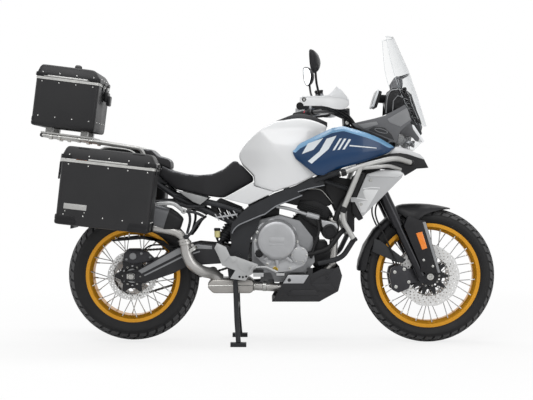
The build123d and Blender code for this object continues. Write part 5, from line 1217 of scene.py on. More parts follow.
# corners of each tube, its radius, and whether it is silver
GUARD_TUBES = (
    ([(342, -250, 823), (448, -250, 861), (610, -205, 901), (700, -128, 876)], 12.5, True),
    ([(440, -246, 851), (533, -242, 858), (579, -218, 863), (640, -158, 846)], 9, True),
    ([(443, -250, 855), (358, -250, 650), (362, -250, 600), (412, -240, 514)], 12.5, True),
    ([(412, -240, 514), (360, -170, 420), (250, -138, 395)], 12.5, False),
    ([(362, -250, 836), (290, -200, 815), (228, -158, 788)], 12.5, False),
)
for silver in (True, False):
    shape = bmesh.new()
    for points, radius, bright in GUARD_TUBES:
        for side in (1, -1):
            if bright == silver:
                run_of(shape, bent([(x, -side * y, z) for x, y, z in points], 46), radius, 18)
    tubes = make_piece("crash_bar_tubes" if silver else "crash_bar_returns", shape,
                       bar_silver if silver else powder_black,
                       smooth=60)
    if silver:
        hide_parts("crash_bars")
shape = bmesh.new()
for side in (1, -1):
    turned(shape, (356, side * 250, 642), (0.42, 0, 0.9), [(0, 14), (2, 16), (26, 16), (28, 14)], 20)
    turned(shape, (352, side * 250, 826), (0.97, 0, 0.22), [(0, 14), (2, 16), (22, 16), (24, 14)], 20)
    turned(shape, (-1073, side * 150, 1011), (0, side, 0), [(0, 11), (6, 11), (8, 9)], 20)
    turned(shape, (690, side * 138, 879), (0.7, -side * 0.7, -0.2), [(0, 14), (14, 14), (18, 11)], 20)
    turned(shape, (346, side * 250, 824.5), (-0.94, 0, -0.34), [(0, 12.7), (2, 14.4), (8, 14.4), (11, 11)], 20)
    turned(shape, (410, side * 240, 520), (0.5, -side * 0.06, -0.86),
           [(0, 12.7), (2, 14.6), (16, 14.6), (18, 12)], 20)
make_piece("tube_caps", shape, guard_nylon)
# The rack's clamps and spring clips below the top case.
shape = bmesh.new()
for x, z in ((-1040, 1004), (-1000, 1000), (-905, 988), (-850, 981)):
    for side in (1, -1):
        turned(shape, (x, side * 150, z), (0.99, 0, -0.124), [(0, 12), (2, 14), (16, 14), (18, 12)], 16)
        turned(shape, (x + 8, side * 163, z), (0, side, 0), [(0, 6), (5, 6), (6, 4)], 8)
make_piece("rack_clamps", shape, bolt_steel)

# ---------------------------------------------------------------- radiator covers
# Pressed aluminium wings over the radiator's sides, silver painted, with a folded top facet and
# two stiffening ridges, each held by countersunk screws.

# Silver paint on pressed sheet: even and pale, with soft broad lights.
wing_silver = finish("silver_painted_wing", "#A9AAAC", "#B7B8B9", 0.38, 0.35, patch=80, grain=1, depth=0.02)
# The same paint a step lighter on the facet and the ridges: a painted highlight where they face the sky.
painted_highlight_wing = finish("silver_wing_facet_painted_highlight", "#C6C7C8", "#D2D3D4", 0.36, 0.3, patch=80, grain=1, depth=0.02)
softened("radiator_covers", "radiator_wings", wing_silver, 2)
for side, hand in SIDES:
    shape = bmesh.new()
    pressed(shape, [(480, 819), (514, 833), (560, 840), (630, 836), (650, 824), (626, 808), (492, 812)],
            side * 189, side * 197, 3)
    make_piece(f"wing_facet_{hand}", shape, painted_highlight_wing, smooth=25)
    shape = bmesh.new()
    run_of(shape, [(458, side * 191.6, 753), (498, side * 192.4, 759), (540, side * 191.6, 757)], 3, 8)
    run_of(shape, [(428, side * 191.6, 708), (452, side * 192.4, 704), (482, side * 191.6, 698)], 4, 8)
    pressed(shape, [(456, 742), (470, 750), (532, 748), (470, 640), (450, 640), (436, 690), (474, 696)],
            side * 191, side * 193.4, 1.6)
    make_piece(f"wing_ridges_{hand}", shape, painted_highlight_wing)
    shape = bmesh.new()
    for x, z in ((495, 794), (450, 679), (592, 822)):
        turned(shape, (x, side * 191, z), (0, side, 0), [(0, 8), (2.4, 8), (4.4, 6), (4.4, 3.2), (2.6, 3)], 16)
    make_piece(f"wing_screws_{hand}", shape, bolt_steel)
    # Black duct behind each wing, which closes the space to the radiator.
    shape = bmesh.new()
    pressed(shape, [(424, 690), (452, 762), (474, 826), (462, 832), (432, 812), (404, 742), (408, 640),
                    (440, 600), (462, 612)], side * 150, side * 184, 4)
    make_piece(f"radiator_duct_{hand}", shape, guard_nylon, smooth=30)

# ---------------------------------------------------------------- beak
# The nose's beak in two injection mouldings screwed together from below: the upper in gloss white
# ABS, the lower in grained black plastic.
softened("beak", "beak_upper", white_abs, 3)
# Grained black plastic: darker than the tail's, with a crisp fine mould texture.
nose_plastic = finish("moulded_nose_plastic", "#1C1C1E", "#272729", 0.4, patch=60, grain=1.2, depth=0.08,
                      specular=0.22)
softened("lower_beak", "beak_lower", nose_plastic, 3)

# ---------------------------------------------------------------- headlight
# Two bowls of metallised plastic in a grey housing, behind one clear moulded lens that is bonded
# to its rim. The unit is screwed into the nose under the cowl.

# Clear polycarbonate: almost no colour, only glints along its edges.
lens = finish("moulded_polycarbonate_clear", "#F2F4F5", "#FAFBFB", 0.04, patch=60, grain=6, depth=0.02,
              Transmission_Weight=0.92, IOR=1.25)
# Vacuum-metallised plastic: a mirror that breaks the light into small bright facets.
bowl = finish("metallised_reflector", "#C8CACC", "#E2E3E4", 0.12, 1.0, patch=20, grain=6, depth=0.1)
# Frosted light guide: white and even when it is off, as ground glass is.
strip = finish("frosted_light_guide", "#F0F2F4", "#F8F9FA", 0.3, patch=20, grain=2, depth=0.05)
dress(lens, "headlight")
shape = bmesh.new()
for side in (1, -1):
    turned(shape, (648, side * 42, 984), (0.97, 0, -0.12),
           [(0, 8), (12, 22), (26, 29), (44, 33), (44.5, 31), (27, 26), (14, 18), (4, 5)], 32)
    turned(shape, (690, side * 30, 972), (0.97, 0, -0.12),
           [(0, 6), (10, 14), (24, 18), (24.5, 16), (12, 11), (3, 4)], 24)
make_piece("headlight_bowls", shape, bowl, smooth=40)
shape = bmesh.new()
pressed(shape, [(626, 978), (640, 1008), (668, 1004), (650, 962), (634, 966)], -84, 84, 3)
make_piece("headlight_housing", shape, panel_grey, smooth=30)

# ---------------------------------------------------------------- fairing
# Upper fairing in satin grey ABS: the side panels' facets, a vent with a rolled rim, and the nose
# cowl that carries the screen on two slotted brackets.

# Satin grey ABS: a dark mid grey with a broad calm light across the flank.
satin_grey = finish("satin_abs_grey", "#505154", "#5C5D60", 0.38, patch=120, grain=1.2, depth=0.05)
# Facets that face the sky: the same plastic, painted a step lighter as a highlight.
painted_highlight_facet = finish("satin_abs_facet_painted_highlight", "#77787A", "#858688", 0.36, patch=80, grain=1.2, depth=0.04)
# Recessed facets: the same plastic painted near black as shade, so that the panel's layers read apart.
painted_shade_facet = finish("satin_abs_facet_painted_shade", "#2A2B2D", "#343537", 0.4, patch=80, grain=1.2, depth=0.05,
                    specular=0.22)
shell = softened("fairing", "fairing_shell", satin_grey, 2.5)
for side, hand in SIDES:
    for label, material, outlines in (
        ("light", painted_highlight_facet, ([(436, 1060), (526, 1075), (534, 1060), (466, 1040)],
                                [(578, 1086), (672, 1140), (690, 1084), (640, 1050), (588, 1070)])),
        ("dark", painted_shade_facet, ([(514, 1052), (566, 1044), (600, 1010), (612, 984), (486, 1034)],)),
    ):
        shape = bmesh.new()
        for outline in outlines:
            pressed(shape, outline, side * 152, side * 157.5, 2)
        make_piece(f"fairing_{label}_facet_{hand}", shape, material, smooth=25)
    # The vent's rolled rim in the lighter facet colour: a painted highlight.
    shape = bmesh.new()
    rim_points = [(548 + 30 * cos(a), side * 158, 1030 + 9 * sin(a) - 0.25 * 30 * cos(a)) for a in
                  [2 * pi * k / 24 for k in range(25)]]
    run_of(shape, rim_points, 1.8, 6)
    make_piece(f"fairing_vent_rim_{hand}", shape, painted_highlight_facet, smooth=60)
    shape = bmesh.new()
    pressed(shape, [(704, 1066), (716, 1062), (768, 984), (757, 976), (736, 1006), (712, 1040)], side * 44,
            side * 63.5, 2)
    make_piece(f"light_strip_{hand}", shape, strip, smooth=30)
    # The nose's cheeks in the near-black facet colour: painted shade.
    shape = bmesh.new()
    pressed(shape, [(690, 1110), (722, 1118), (745, 1060), (756, 1020), (738, 996), (716, 1036), (700, 1066)],
            side * 36, side * 62.8, 3)
    make_piece(f"nose_cheek_{hand}", shape, painted_shade_facet, smooth=30)

# The nose cowl's black lining round the dashboard, with its rolled rim and a ribbed inner panel.
lining = finish("moulded_cowl_lining", "#161617", "#202022", 0.42, patch=60, grain=1.2, depth=0.08,
                specular=0.25)
for side, hand in SIDES:
    shape = bmesh.new()
    pressed(shape, [(574, 1112), (578, 1186), (596, 1230), (614, 1241), (668, 1241), (698, 1216),
                    (714, 1168), (744, 1096), (754, 1066), (714, 1078), (676, 1160), (602, 1124)],
            side * 60, side * 64.5, 2)
    make_piece(f"cowl_lining_{hand}", shape, lining, smooth=30)
    # The rolled rim and ribs in the lighter facet colour: a painted highlight along them.
    shape = bmesh.new()
    run_of(shape, smooth_run([(580, side * 65, 1118), (584, side * 66, 1184), (600, side * 66, 1224),
                              (622, side * 66, 1233), (664, side * 66, 1232), (690, side * 66, 1210),
                              (704, side * 66, 1166), (736, side * 66, 1090)]), 3, 8)
    run_of(shape, [(612, side * 65, 1130), (616, side * 66, 1180), (636, side * 66, 1204),
                   (662, side * 66, 1196)], 2.4, 6)
    for k in range(5):
        run_of(shape, [(668 + 9 * k, side * 65, 1190 - 22 * k), (688 + 9 * k, side * 65, 1186 - 22 * k)], 1.6, 6)
    make_piece(f"cowl_beads_{hand}", shape, painted_highlight_facet, smooth=50)

# ---------------------------------------------------------------- windscreen
# A tall screen blown from 4 mm acrylic sheet and cut by router, its edge flame polished. Four
# screws in rubber wells hold it to the cowl.

# Clear acrylic: only the rim and a soft glint show.
screen = finish("blown_acrylic_clear", "#FDFEFE", "#FFFFFF", 0.02, patch=200, grain=40, depth=0.01,
                Transmission_Weight=1.0, IOR=1.08)
tree = screen.node_tree
clear = tree.nodes["Principled BSDF"].inputs["Base Color"].links[0].from_socket
slant = put(tree, "ShaderNodeLayerWeight", {}, {"Blend": 0.12})
tinted = put(tree, "ShaderNodeMix", {0: slant.outputs["Facing"], 6: clear}, {7: linear("#8E959B")},
             data_type="RGBA")
tree.links.new(tinted.outputs[2], tree.nodes["Principled BSDF"].inputs["Base Color"])
dress(screen, "windscreen")
SCREEN_EDGE = [(1062, 785, 108, 58), (1201, 740, 168, 92), (1331, 695, 172, 92), (1487, 623, 96, 44)]
# The polished edge gathers light and shows as a thin pale line.
edge_clear = finish("polished_acrylic_edge", "#E2E6E8", "#ECEFF0", 0.12, patch=60, grain=6, depth=0.01,
                    Transmission_Weight=0.85, IOR=1.1)
shape = bmesh.new()
for side in (1, -1):
    run_of(shape, smooth_run([(x - back - 3, side * half * 0.985, z) for z, x, half, back in SCREEN_EDGE],
                             6), 1.3, 6)
z, x, half, back = SCREEN_EDGE[-1]
run_of(shape, smooth_run([(x - back - 3, half * 0.985, z), (x - 4, 0, z + 2),
                          (x - back - 3, -half * 0.985, z)], 10), 1.3, 6)
make_piece("windscreen_edge", shape, edge_clear, smooth=60)
shape = bmesh.new()
for side in (1, -1):
    for z, x, y in ((1120, 706, 118), (1230, 664, 142)):
        turned(shape, (x - 10, side * y, z), (0.8, side * 0.6, 0), [(0, 7), (4, 9), (14, 9), (17, 6)], 16)
make_piece("windscreen_screws", shape, guard_nylon)

# ---------------------------------------------------------------- fork
# An upside-down fork of black anodised tubes, with a moulded guard over each slider, an amber
# reflector, radial calipers in black, and a short fender over the tyre.

# Black anodised tube: a hard narrow light down its whole length.
fork_black = finish("black_anodised_tube", "#232325", "#323235", 0.24, 0.7, patch=60, grain=3, depth=0.02)
dress(fork_black, "fork_legs")
dress(powder_black, "triple_clamps")
softened("fork_covers", "fork_guards", nose_plastic, 5, "steering")
softened("front_calipers", "front_caliper_bodies", caliper_black, 3, "steering")
# The fender is one moulding: a pointed bow that runs down to the guards, and a long tail round the tyre.
# x, crown height, skirt's lower edge, half width at the crown and at the skirt
FENDER_BOW = [(632, 664, 640, 62, 66), (645, 672, 634, 63, 69), (665, 677, 621, 64, 76),
              (690, 679, 602, 65, 86), (715, 680, 599, 66, 91), (740, 680, 607, 66, 89),
              (765, 679.5, 626, 64, 81), (800, 677, 639, 59, 73), (840, 671, 648, 49, 61),
              (875, 664, 652.5, 34, 46), (899, 658, 655, 12, 20),]
# angle from the front, crown radius, skirt's depth, half width
FENDER_TAIL = [(103, 346, 22, 64), (112, 348, 24, 66), (125, 349, 28, 67), (140, 349, 32, 68),
               (155, 349, 36, 68), (168, 349, 42, 67), (174, 348, 40, 64), (176, 346, 30, 60),]


def channel(shape, sections):
    """A thin arched shell through sections, each a list of outside places from one edge to the other."""
    rings = []
    for middle, outside in sections:
        inside = [p + (middle - p).normalized() * 3 for p in reversed(outside)]
        rings.append([shape.verts.new(MM * p) for p in outside + inside])
    lofted(shape, rings, True, True)
    bmesh.ops.recalc_face_normals(shape, faces=shape.faces)


shape = bmesh.new()
sections = []
for x, crown_z, low_z, top_half, low_half in FENDER_BOW:
    half = [(low_half, low_z), (low_half * 0.99, low_z + (crown_z - low_z) * 0.4),
            (top_half * 1.05, crown_z - (crown_z - low_z) * 0.3 - 2), (top_half * 0.82, crown_z - 5),
            (top_half * 0.45, crown_z - 1.2)]
    outside = [(-y, z) for y, z in half] + [(0, crown_z)] + [(y, z) for y, z in reversed(half)]
    sections.append((Vector((x, 0, low_z - 20)), [Vector((x, y, z)) for y, z in outside]))
channel(shape, sections)
bow = bmesh.new()
sections = []
for angle, reach, depth, half_width in FENDER_TAIL:
    ahead = Vector((cos(radians(angle)), 0, sin(radians(angle))))
    half = [(half_width, reach - depth), (half_width * 0.99, reach - depth * 0.5),
            (half_width * 0.93, reach - 10), (half_width * 0.78, reach - 3), (half_width * 0.45, reach - 0.6)]
    outside = [(-y, r) for y, r in half] + [(0, reach)] + [(y, r) for y, r in reversed(half)]
    sections.append((FRONT_AXLE / MM + ahead * (reach - depth - 30),
                     [FRONT_AXLE / MM + ahead * r + Vector((0, y, 0)) for y, r in outside]))
channel(bow, sections)
for label, part in (("bow", shape), ("tail", bow)):
    fender = make_piece(f"front_fender_{label}", part, nose_plastic, "steering", 50)
    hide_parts("front_fender")
for side, hand in SIDES:
    # A grey strip down each guard's front edge: a painted highlight along it.
    shape = bmesh.new()
    pressed(shape, [(750, 592), (764, 594), (836, 349), (824, 349)], side * 130, side * 135, 2)
    make_piece(f"fork_guard_edge_painted_highlight_{hand}", shape, arm_grey, "steering", 30)
    shape = bmesh.new()
    pressed(shape, [(718, 539), (748, 547), (773, 468), (748, 459)], side * 130, side * 137, 2.2)
    make_piece(f"fork_reflector_{hand}", shape, amber, "steering", 30)
    shape = bmesh.new()
    pressed(shape, [(523, 512), (551, 501), (652, 426), (676, 408), (660, 392), (628, 397), (540, 436),
                    (513, 448)], side * 76, side * 83, 2.4)
    make_piece(f"fender_stay_{hand}", shape, tail_plastic, "steering", 30)
    shape = bmesh.new()
    run_of(shape, smooth_run([(572, side * 96, 742), (545, side * 98, 700), (527, side * 98, 654),
                              (534, side * 96, 602), (574, side * 92, 520), (614, side * 88, 430),
                              (634, side * 84, 380)]), 4, 10)
    make_piece(f"front_brake_hose_{hand}", shape, hose_rubber, "steering", 60)
    shape = bmesh.new()
    for x, z in ((628, 276), (622, 348), (668, 362), (690, 300)):
        turned(shape, (x, side * 80.5, z), (0, side, 0), [(0, 8), (4, 8), (5, 6), (5, 3.4), (3, 3.2)], 14)
    make_piece(f"front_caliper_bolts_{hand}", shape, bolt_steel, "steering")
    shape = bmesh.new()
    turned(shape, (790, side * 118, 329), (0, side, 0), [(0, 17), (4, 17), (6, 15), (6, 9), (2, 8.5)], 28)
    for x, z in ((756, 410), (800, 380)):
        turned(shape, (x, side * 131, z), (0, side, 0), [(0, 6), (3, 6), (4, 4)], 12)
    make_piece(f"front_axle_nut_{hand}", shape, bolt_steel, "steering")

# ---------------------------------------------------------------- handlebar and controls
# A tapered aluminium bar on two risers. Each end has a rubber grip, a switch block and a forged
# lever, with the brake's reservoir and its hose on the right.

# Black anodised bar, bead blasted first: the same black with a softer light.
bar_black = finish("black_anodised_bar", "#1B1B1D", "#29292C", 0.34, 0.4, patch=40, grain=2, depth=0.03)
softened("handlebar", "handlebar_and_risers", bar_black, 5, "steering")
# Moulded nylon: matt black with the fine texture of a spark-eroded mould.
switch_nylon = finish("moulded_switch_nylon", "#151516", "#202022", 0.46, patch=20, grain=1, depth=0.08,
                      specular=0.22)
# Ribbed rubber: dead matt, and only the crests of the ribs catch light.
grip_rubber = finish("ribbed_grip_rubber", "#121213", "#1C1C1D", 0.7, patch=20, grain=1.2, depth=0.15,
                     specular=0.22)
# Forged and polished aluminium: grey, with long soft lights along the blade.
lever_alloy = finish("forged_lever_alloy", "#84868A", "#9B9DA0", 0.34, 0.8, patch=30, grain=2, depth=0.03)
# Red moulded buttons: one small clear colour on each black block.
switch_red = finish("moulded_switch_red", "#C23A4A", "#D24858", 0.4, patch=10, grain=1, depth=0.02)
grips, blocks, levers, red = bmesh.new(), bmesh.new(), bmesh.new(), bmesh.new()
for side in (1, -1):
    outer = Vector((152, side * 424, 1132))
    inward = (Vector((240, side * 265, 1144)) - outer).normalized()
    profile = [(-4, 9), (-4, 15), (-2, 17.5), (3, 17.5), (5, 15.6)]
    for ring in range(17):
        profile += [(8 + ring * 6, 15.2), (9.5 + ring * 6, 16.4), (12 + ring * 6, 16.4), (13.5 + ring * 6, 15.2)]
    profile += [(112, 16), (114, 19.5), (118, 20.5), (121, 20.5), (121, 12)]
    turned(grips, outer, inward, profile, 24)
    turned(blocks, outer + inward * 122, inward, [(0, 14), (1, 19), (4, 21.5), (34, 21.5), (38, 19),
                                                  (42, 15)], 24)
    turned(blocks, outer + inward * 168, inward, [(0, 14), (2, 17), (16, 17), (18, 14)], 20)
    perch = outer + inward * 150
    run_of(blocks, [perch + Vector((8, 0, 2)), perch + Vector((24, 0, 0)),
                    perch + Vector((38, side * 6, -4))], 9, 10)
    tip = outer + inward * 8 + Vector((46, 0, -8))
    reach = smooth_run([perch + Vector((34, side * 4, -3)), perch + Vector((46, side * 24, -5)),
                        perch + Vector((44, side * 60, -6)), tip + inward * 40, tip])
    run_of(levers, reach, 6.5, 10, 0.55)
    turned(levers, tip, -inward, [(-8, 4), (-5, 7), (2, 8.4), (8, 7), (11, 3)], 14)
    turned(levers, perch + Vector((36, side * 4, -14)), (0, 0, 1), [(0, 4), (1, 7), (22, 7), (24, 4)], 12)
    turned(red, outer + inward * 136 + Vector((-19, 0, 4)), (-1, 0, 0.2), [(0, 6), (5, 6), (7, 4.4)], 12)
    turned(red, outer + inward * 150 + Vector((-14, 0, -14)), (-0.8, 0, -0.6), [(0, 5), (5, 5), (7, 3)], 12)
    for k in range(2):
        turned(blocks, outer + inward * (132 + 16 * k) + Vector((-14, 0, 13)), (-0.6, 0, 0.8),
               [(0, 5), (6, 5), (7, 4)], 10)
for name, shape, material, slot in (("bar_grips", grips, grip_rubber, "rubber_black"),
                                    ("switch_blocks", blocks, switch_nylon, "black_plastic"),
                                    ("brake_and_clutch_levers", levers, lever_alloy, "rack_silver"),
                                    ("switch_buttons", red, switch_red, "black_plastic")):
    piece = make_piece(name, shape, material, "steering")
    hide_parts("bar_controls")
# The brake's reservoir: a smoked cup with its lid and bracket, and a short feed hose.
shape = bmesh.new()
turned(shape, (250, -268, 1176), (-0.15, 0, 1), [(0, 12), (2, 17), (30, 18.5), (31, 20.5), (37, 20.5),
                                                 (39, 18), (40, 6)], 28)
run_of(shape, [(262, -252, 1150), (262, -258, 1166), (254, -266, 1178)], 6, 8)
make_piece("brake_reservoir", shape, switch_nylon, "steering")
shape = bmesh.new()
turned(shape, (249, -268, 1186), (-0.15, 0, 1), [(0, 18.6), (1, 19.4), (9, 19.6), (10, 18.8)], 28)
for dx, dy in ((12, 12), (-12, -12)):
    turned(shape, (244 + dx, -268 + dy, 1214), (-0.15, 0, 1), [(0, 3.2), (2.4, 3.2), (3, 2)], 10)
pivots = ((284, -246, 1146), (284, 246, 1146))
for x, y, z in pivots:
    turned(shape, (x, y, z), (0, 0, 1), [(0, 6), (16, 6), (18, 4)], 6)
run_of(shape, [(296, -262, 1152), (318, -272, 1168), (334, -282, 1172), (350, -290, 1164)], 4.5, 8)
make_piece("control_clamps", shape, lever_alloy, "steering")
# Cables and hoses from the switches, tied along the bar and down behind the steering head.
shape = bmesh.new()
for side, lift, radius in ((1, 0, 6), (-1, 0, 6), (-1, 13, 5), (1, 13, 4.5), (-1, -12, 4)):
    run_of(shape, smooth_run([(262, side * 236, 1140 + lift), (308, side * 170, 1138 + lift),
                              (352, side * 112, 1118 + lift), (398, side * 78, 1092 + lift),
                              (432, side * 68, 1060), (446, side * 62, 1020), (440, side * 50, 980)]),
           radius, 10)
make_piece("bar_cables", shape, hose_rubber, "steering", 60)
shape = bmesh.new()
for side in (1, -1):
    for x, z in ((378, 1140), (398, 1140)):
        turned(shape, (x - 2, side * 46, z - 1), (0, 0, 1), [(0, 6), (7, 6), (9, 4.4), (9, 3), (6, 2.6)], 12)
        turned(shape, (x - 2, side * 34, z - 1), (0, 0, 1), [(0, 6), (7, 6), (9, 4.4), (9, 3), (6, 2.6)], 12)
    turned(shape, (392, side * 57, 1072), (0, side, 0), [(-2, 10), (3, 10), (5, 8), (5, 4)], 16)
make_piece("bar_clamp_bolts", shape, bolt_steel, "steering")

# ---------------------------------------------------------------- hand guards
# Injection-moulded shells in gloss white, screwed to the bar's ends, each with a frosted wind
# deflector on top and a black strut behind.

# Frosted polycarbonate: milky white, and a little light passes through.
frosted = finish("frosted_polycarbonate", "#E6E8EA", "#F0F1F2", 0.4, patch=40, grain=2, depth=0.02,
                 Transmission_Weight=0.25)
# x, y, lower edge, upper edge of the shell, top of the deflector
GUARD_STATIONS = [(151, 427, 1138, 1170, 1170), (163, 431, 1133, 1177, 1177),
                  (205, 433.5, 1133, 1178, 1178), (250, 430, 1134, 1178, 1178),
                  (284, 421, 1128, 1180, 1184), (306, 411, 1122, 1180, 1202), (322, 402, 1120, 1179, 1223),
                  (338, 391, 1119, 1178, 1214), (356, 375, 1121, 1176, 1199), (374, 352, 1130, 1171, 1180),
                  (383, 336, 1139, 1165, 1166),]


def guard_strip(shape, side, low, high, bulge, thick):
    """A curved band between two heights of each station, closed all round."""
    rings = []
    for k, (x, y, *_) in enumerate(GUARD_STATIONS):
        x0, y0 = GUARD_STATIONS[max(k - 1, 0)][:2]
        x1, y1 = GUARD_STATIONS[min(k + 1, len(GUARD_STATIONS) - 1)][:2]
        out = Vector((y0 - y1, -(x0 - x1), 0)).normalized()
        if out.y < 0:
            out = -out
        ring = []
        for share, inner in [(v / 6, 0) for v in range(7)] + [(v / 6, 1) for v in range(6, -1, -1)]:
            z = low(k) + (high(k) - low(k)) * share
            push = -0.8 * bulge * (2 * share - 0.9) ** 2 - inner * thick
            ring.append(shape.verts.new(MM * Vector((x + out.x * push, side * (y + out.y * push), z))))
        rings.append(ring)
    lofted(shape, rings, True, True)


for side, hand in SIDES:
    shape = bmesh.new()
    guard_strip(shape, side, lambda k: GUARD_STATIONS[k][2], lambda k: GUARD_STATIONS[k][3], 6, 3.2)
    bmesh.ops.recalc_face_normals(shape, faces=shape.faces)
    bow = make_piece(f"hand_guard_{hand}", shape, white_abs, "steering", 50)
    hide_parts("hand_guards")
    shape = bmesh.new()
    guard_strip(shape, side, lambda k: min(GUARD_STATIONS[k][3] - 6, GUARD_STATIONS[k][4] - 7),
                lambda k: GUARD_STATIONS[k][4], 3, 2.4)
    bmesh.ops.recalc_face_normals(shape, faces=shape.faces)
    make_piece(f"hand_guard_deflector_{hand}", shape, frosted, "steering", 50)
    shape = bmesh.new()
    run_of(shape, smooth_run([(160, side * 424, 1134), (190, side * 418, 1128), (250, side * 412, 1126),
                              (318, side * 392, 1132), (330, side * 360, 1142), (306, side * 300, 1150),
                              (268, side * 228, 1144)]), 6.5, 10, 0.7)
    turned(shape, (171, side * 429, 1161), (0, side, 0), [(0, 10), (2.4, 10), (3.4, 8.6), (3.4, 5)], 24)
    make_piece(f"hand_guard_strut_{hand}", shape, switch_nylon, "steering", 50)
    shape = bmesh.new()
    turned(shape, (171, side * 431, 1161), (0, side, 0),
           [(0, 5.4), (2.4, 5.4), (3.6, 4), (3.6, 2.6), (2, 2.2)], 14)
    make_piece(f"hand_guard_screw_{hand}", shape, bolt_steel, "steering")

# ---------------------------------------------------------------- mirrors
# Teardrop shells in satin black on steel stems that screw into the bar's clamps. The glass is
# aluminium-coated on its face and sits a little inside the shell's rim.

# Silvered glass: it reflects the room and has no texture of its own.
mirror_glass = finish("silvered_mirror_glass", "#C9CDD0", "#D2D6D8", 0.05, 1.0, patch=60, grain=8, depth=0.005)
# Satin lacquered shell: smooth black, with one broad light over its back.
mirror_shell = finish("satin_mirror_shell", "#1C1C1E", "#29292B", 0.34, patch=60, grain=1.2, depth=0.04,
                      specular=0.22)
MIRROR_EDGE = [(-58, -26), (-36, -44), (-8, -52), (22, -44), (50, -20), (62, 12), (66, 40), (54, 51), (20, 50),
               (-20, 42), (-50, 24), (-64, 0)]
for side, hand in SIDES:
    turn = radians(17)
    middle = Vector((214, side * 397, 1337))
    out = Vector((-sin(turn), side * cos(turn), 0))
    ahead = Vector((cos(turn), side * sin(turn), 0))
    edge = [p.xy for p in smooth_run([(u, v, 0) for u, v in MIRROR_EDGE + MIRROR_EDGE[:1]], 4)][:-1]
    shape = bmesh.new()
    rings = []
    for depth, share, rise in ((4, 0.86, 0), (-1, 0.89, 0), (-1.5, 0.95, 0), (1, 1.0, 0), (6, 1.0, 0),
                               (14, 0.93, 0), (22, 0.77, -1), (28, 0.52, -3), (31, 0.24, -4)):
        rings.append([shape.verts.new(MM * (middle + out * u * share + Vector((0, 0, v * share + rise))
                                            + ahead * (depth - 2))) for u, v in edge])
    lofted(shape, rings, True, True)
    bmesh.ops.recalc_face_normals(shape, faces=shape.faces)
    stem = smooth_run([(256, side * 240, 1146), (252, side * 262, 1174), (240, side * 310, 1212),
                       (230, side * 362, 1246), (225, side * 388, 1290), (226, side * 394, 1316)])
    run_of(shape, stem, 5.4, 12)
    turned(shape, (256, side * 240, 1144), (0, side * 0.3, 1), [(0, 11), (12, 11), (16, 7), (24, 7)], 12)
    head = make_piece(f"mirror_{hand}", shape, mirror_shell, "steering", 50)
    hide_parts("mirrors")
    shape = bmesh.new()
    near = [shape.verts.new(MM * (middle + out * u * 0.885 + Vector((0, 0, v * 0.885)) + ahead * -1.6))
            for u, v in edge]
    far = [shape.verts.new(MM * (middle + out * u * 0.885 + Vector((0, 0, v * 0.885)) + ahead * 3)) for u,
           v in edge]
    lofted(shape, [near, far], True, True)
    bmesh.ops.recalc_face_normals(shape, faces=shape.faces)
    make_piece(f"mirror_glass_{hand}", shape, mirror_glass, "steering", 30)

# ---------------------------------------------------------------- dashboard
# A colour display in a moulded black housing with a pale clipped bezel, tilted to the rider and
# screwed to the fairing's stay. It shows a plain dial with no figures.
softened("dashboard", "dashboard_housing", switch_nylon, 4)
# Pale silver moulding: a light frame round the dark display.
bezel = finish("pale_display_bezel", "#C4C7CA", "#D0D3D5", 0.36, 0.1, patch=40, grain=1.2, depth=0.02)
# Display glass: black, with sharp reflections.
display = finish("dark_display_glass", "#0C0E12", "#14171C", 0.1, patch=40, grain=6, depth=0.005)
face_up = Vector((26, 0, 79)).normalized()
back = Vector((-79, 0, 26)).normalized()
corner = Vector((519, 0, 1150))
shape = bmesh.new()
outline = [corner + face_up * t + back * d for t, d in ((-3, -1), (86, -1), (86, 6), (83, 9), (0, 9), (-3, 6))]
pressed(shape, [(p.x, p.z) for p in outline], -86, 86, 2)
make_piece("dashboard_bezel", shape, bezel)
shape = bmesh.new()
outline = [corner + face_up * t + back * d for t, d in ((6, 8), (77, 8), (77, 10.2), (6, 10.2))]
pressed(shape, [(p.x, p.z) for p in outline], -76, 76, 0.6)
make_piece("dashboard_display", shape, display)
shape = bmesh.new()
dial = corner + face_up * 40 + back * 10.2
points = [dial + Vector((0, 1, 0)) * 26 * cos(a) + face_up * 26 * sin(a)
          for a in [radians(-40 + 260 * k / 30) for k in range(31)]]
run_of(shape, points, 1.2, 6)
for k in range(9):
    a = radians(-40 + 260 * k / 8)
    spoke = Vector((0, 1, 0)) * cos(a) + face_up * sin(a)
    run_of(shape, [dial + spoke * 19, dial + spoke * 23], 0.8, 6)
run_of(shape, [dial, dial + Vector((0, -14, 0)) + face_up * 12], 1, 6)
make_piece("dashboard_dial", shape, bezel)

# ---------------------------------------------------------------- luggage cases
# Three cases folded from 2 mm aluminium sheet and powder coated black. A bright extruded rim is
# riveted round each mouth, moulded guards cap the corners, and the lid hinges at its front edge.
# name, lid's body, floor's rear corner x and z, forward lean, left y, width, length, body height,
# lid height, slopes
CASES = [
    ("top_case", "top_lid", -1125, 1059, 7.1, 200, 400, 309, 236, 58, 8, 22),
    ("right_pannier", "right_lid", -965, 597, 6.4, -245, 225, 434, 300, 60, 12, 16),
    ("left_pannier", "left_lid", -965, 597, 6.4, 470, 225, 434, 300, 60, 12, 16),
]
CORNER_R = 20
# Fine-textured powder coat: charcoal black, each grain catching a soft light, with no mirror in it.
case_black = finish("textured_powder_coat_black", "#202022", "#282829", 0.46, patch=120, grain=1.6, depth=0.14,
                    specular=0.3)
# Extruded aluminium, brushed along its length and clear anodised: a soft white line.
bright_rim = finish("brushed_anodised_rim", "#B4B4B2", "#CFCFCC", 0.36, 0.7, patch=30, grain=1.0, depth=0.05)
# Set rivet heads and latch wire: plain zinc-plated steel.
zinc = finish("bright_zinc_plate", "#C2C2C0", "#DADAD8", 0.26, 0.85, patch=10, grain=1, depth=0.02)
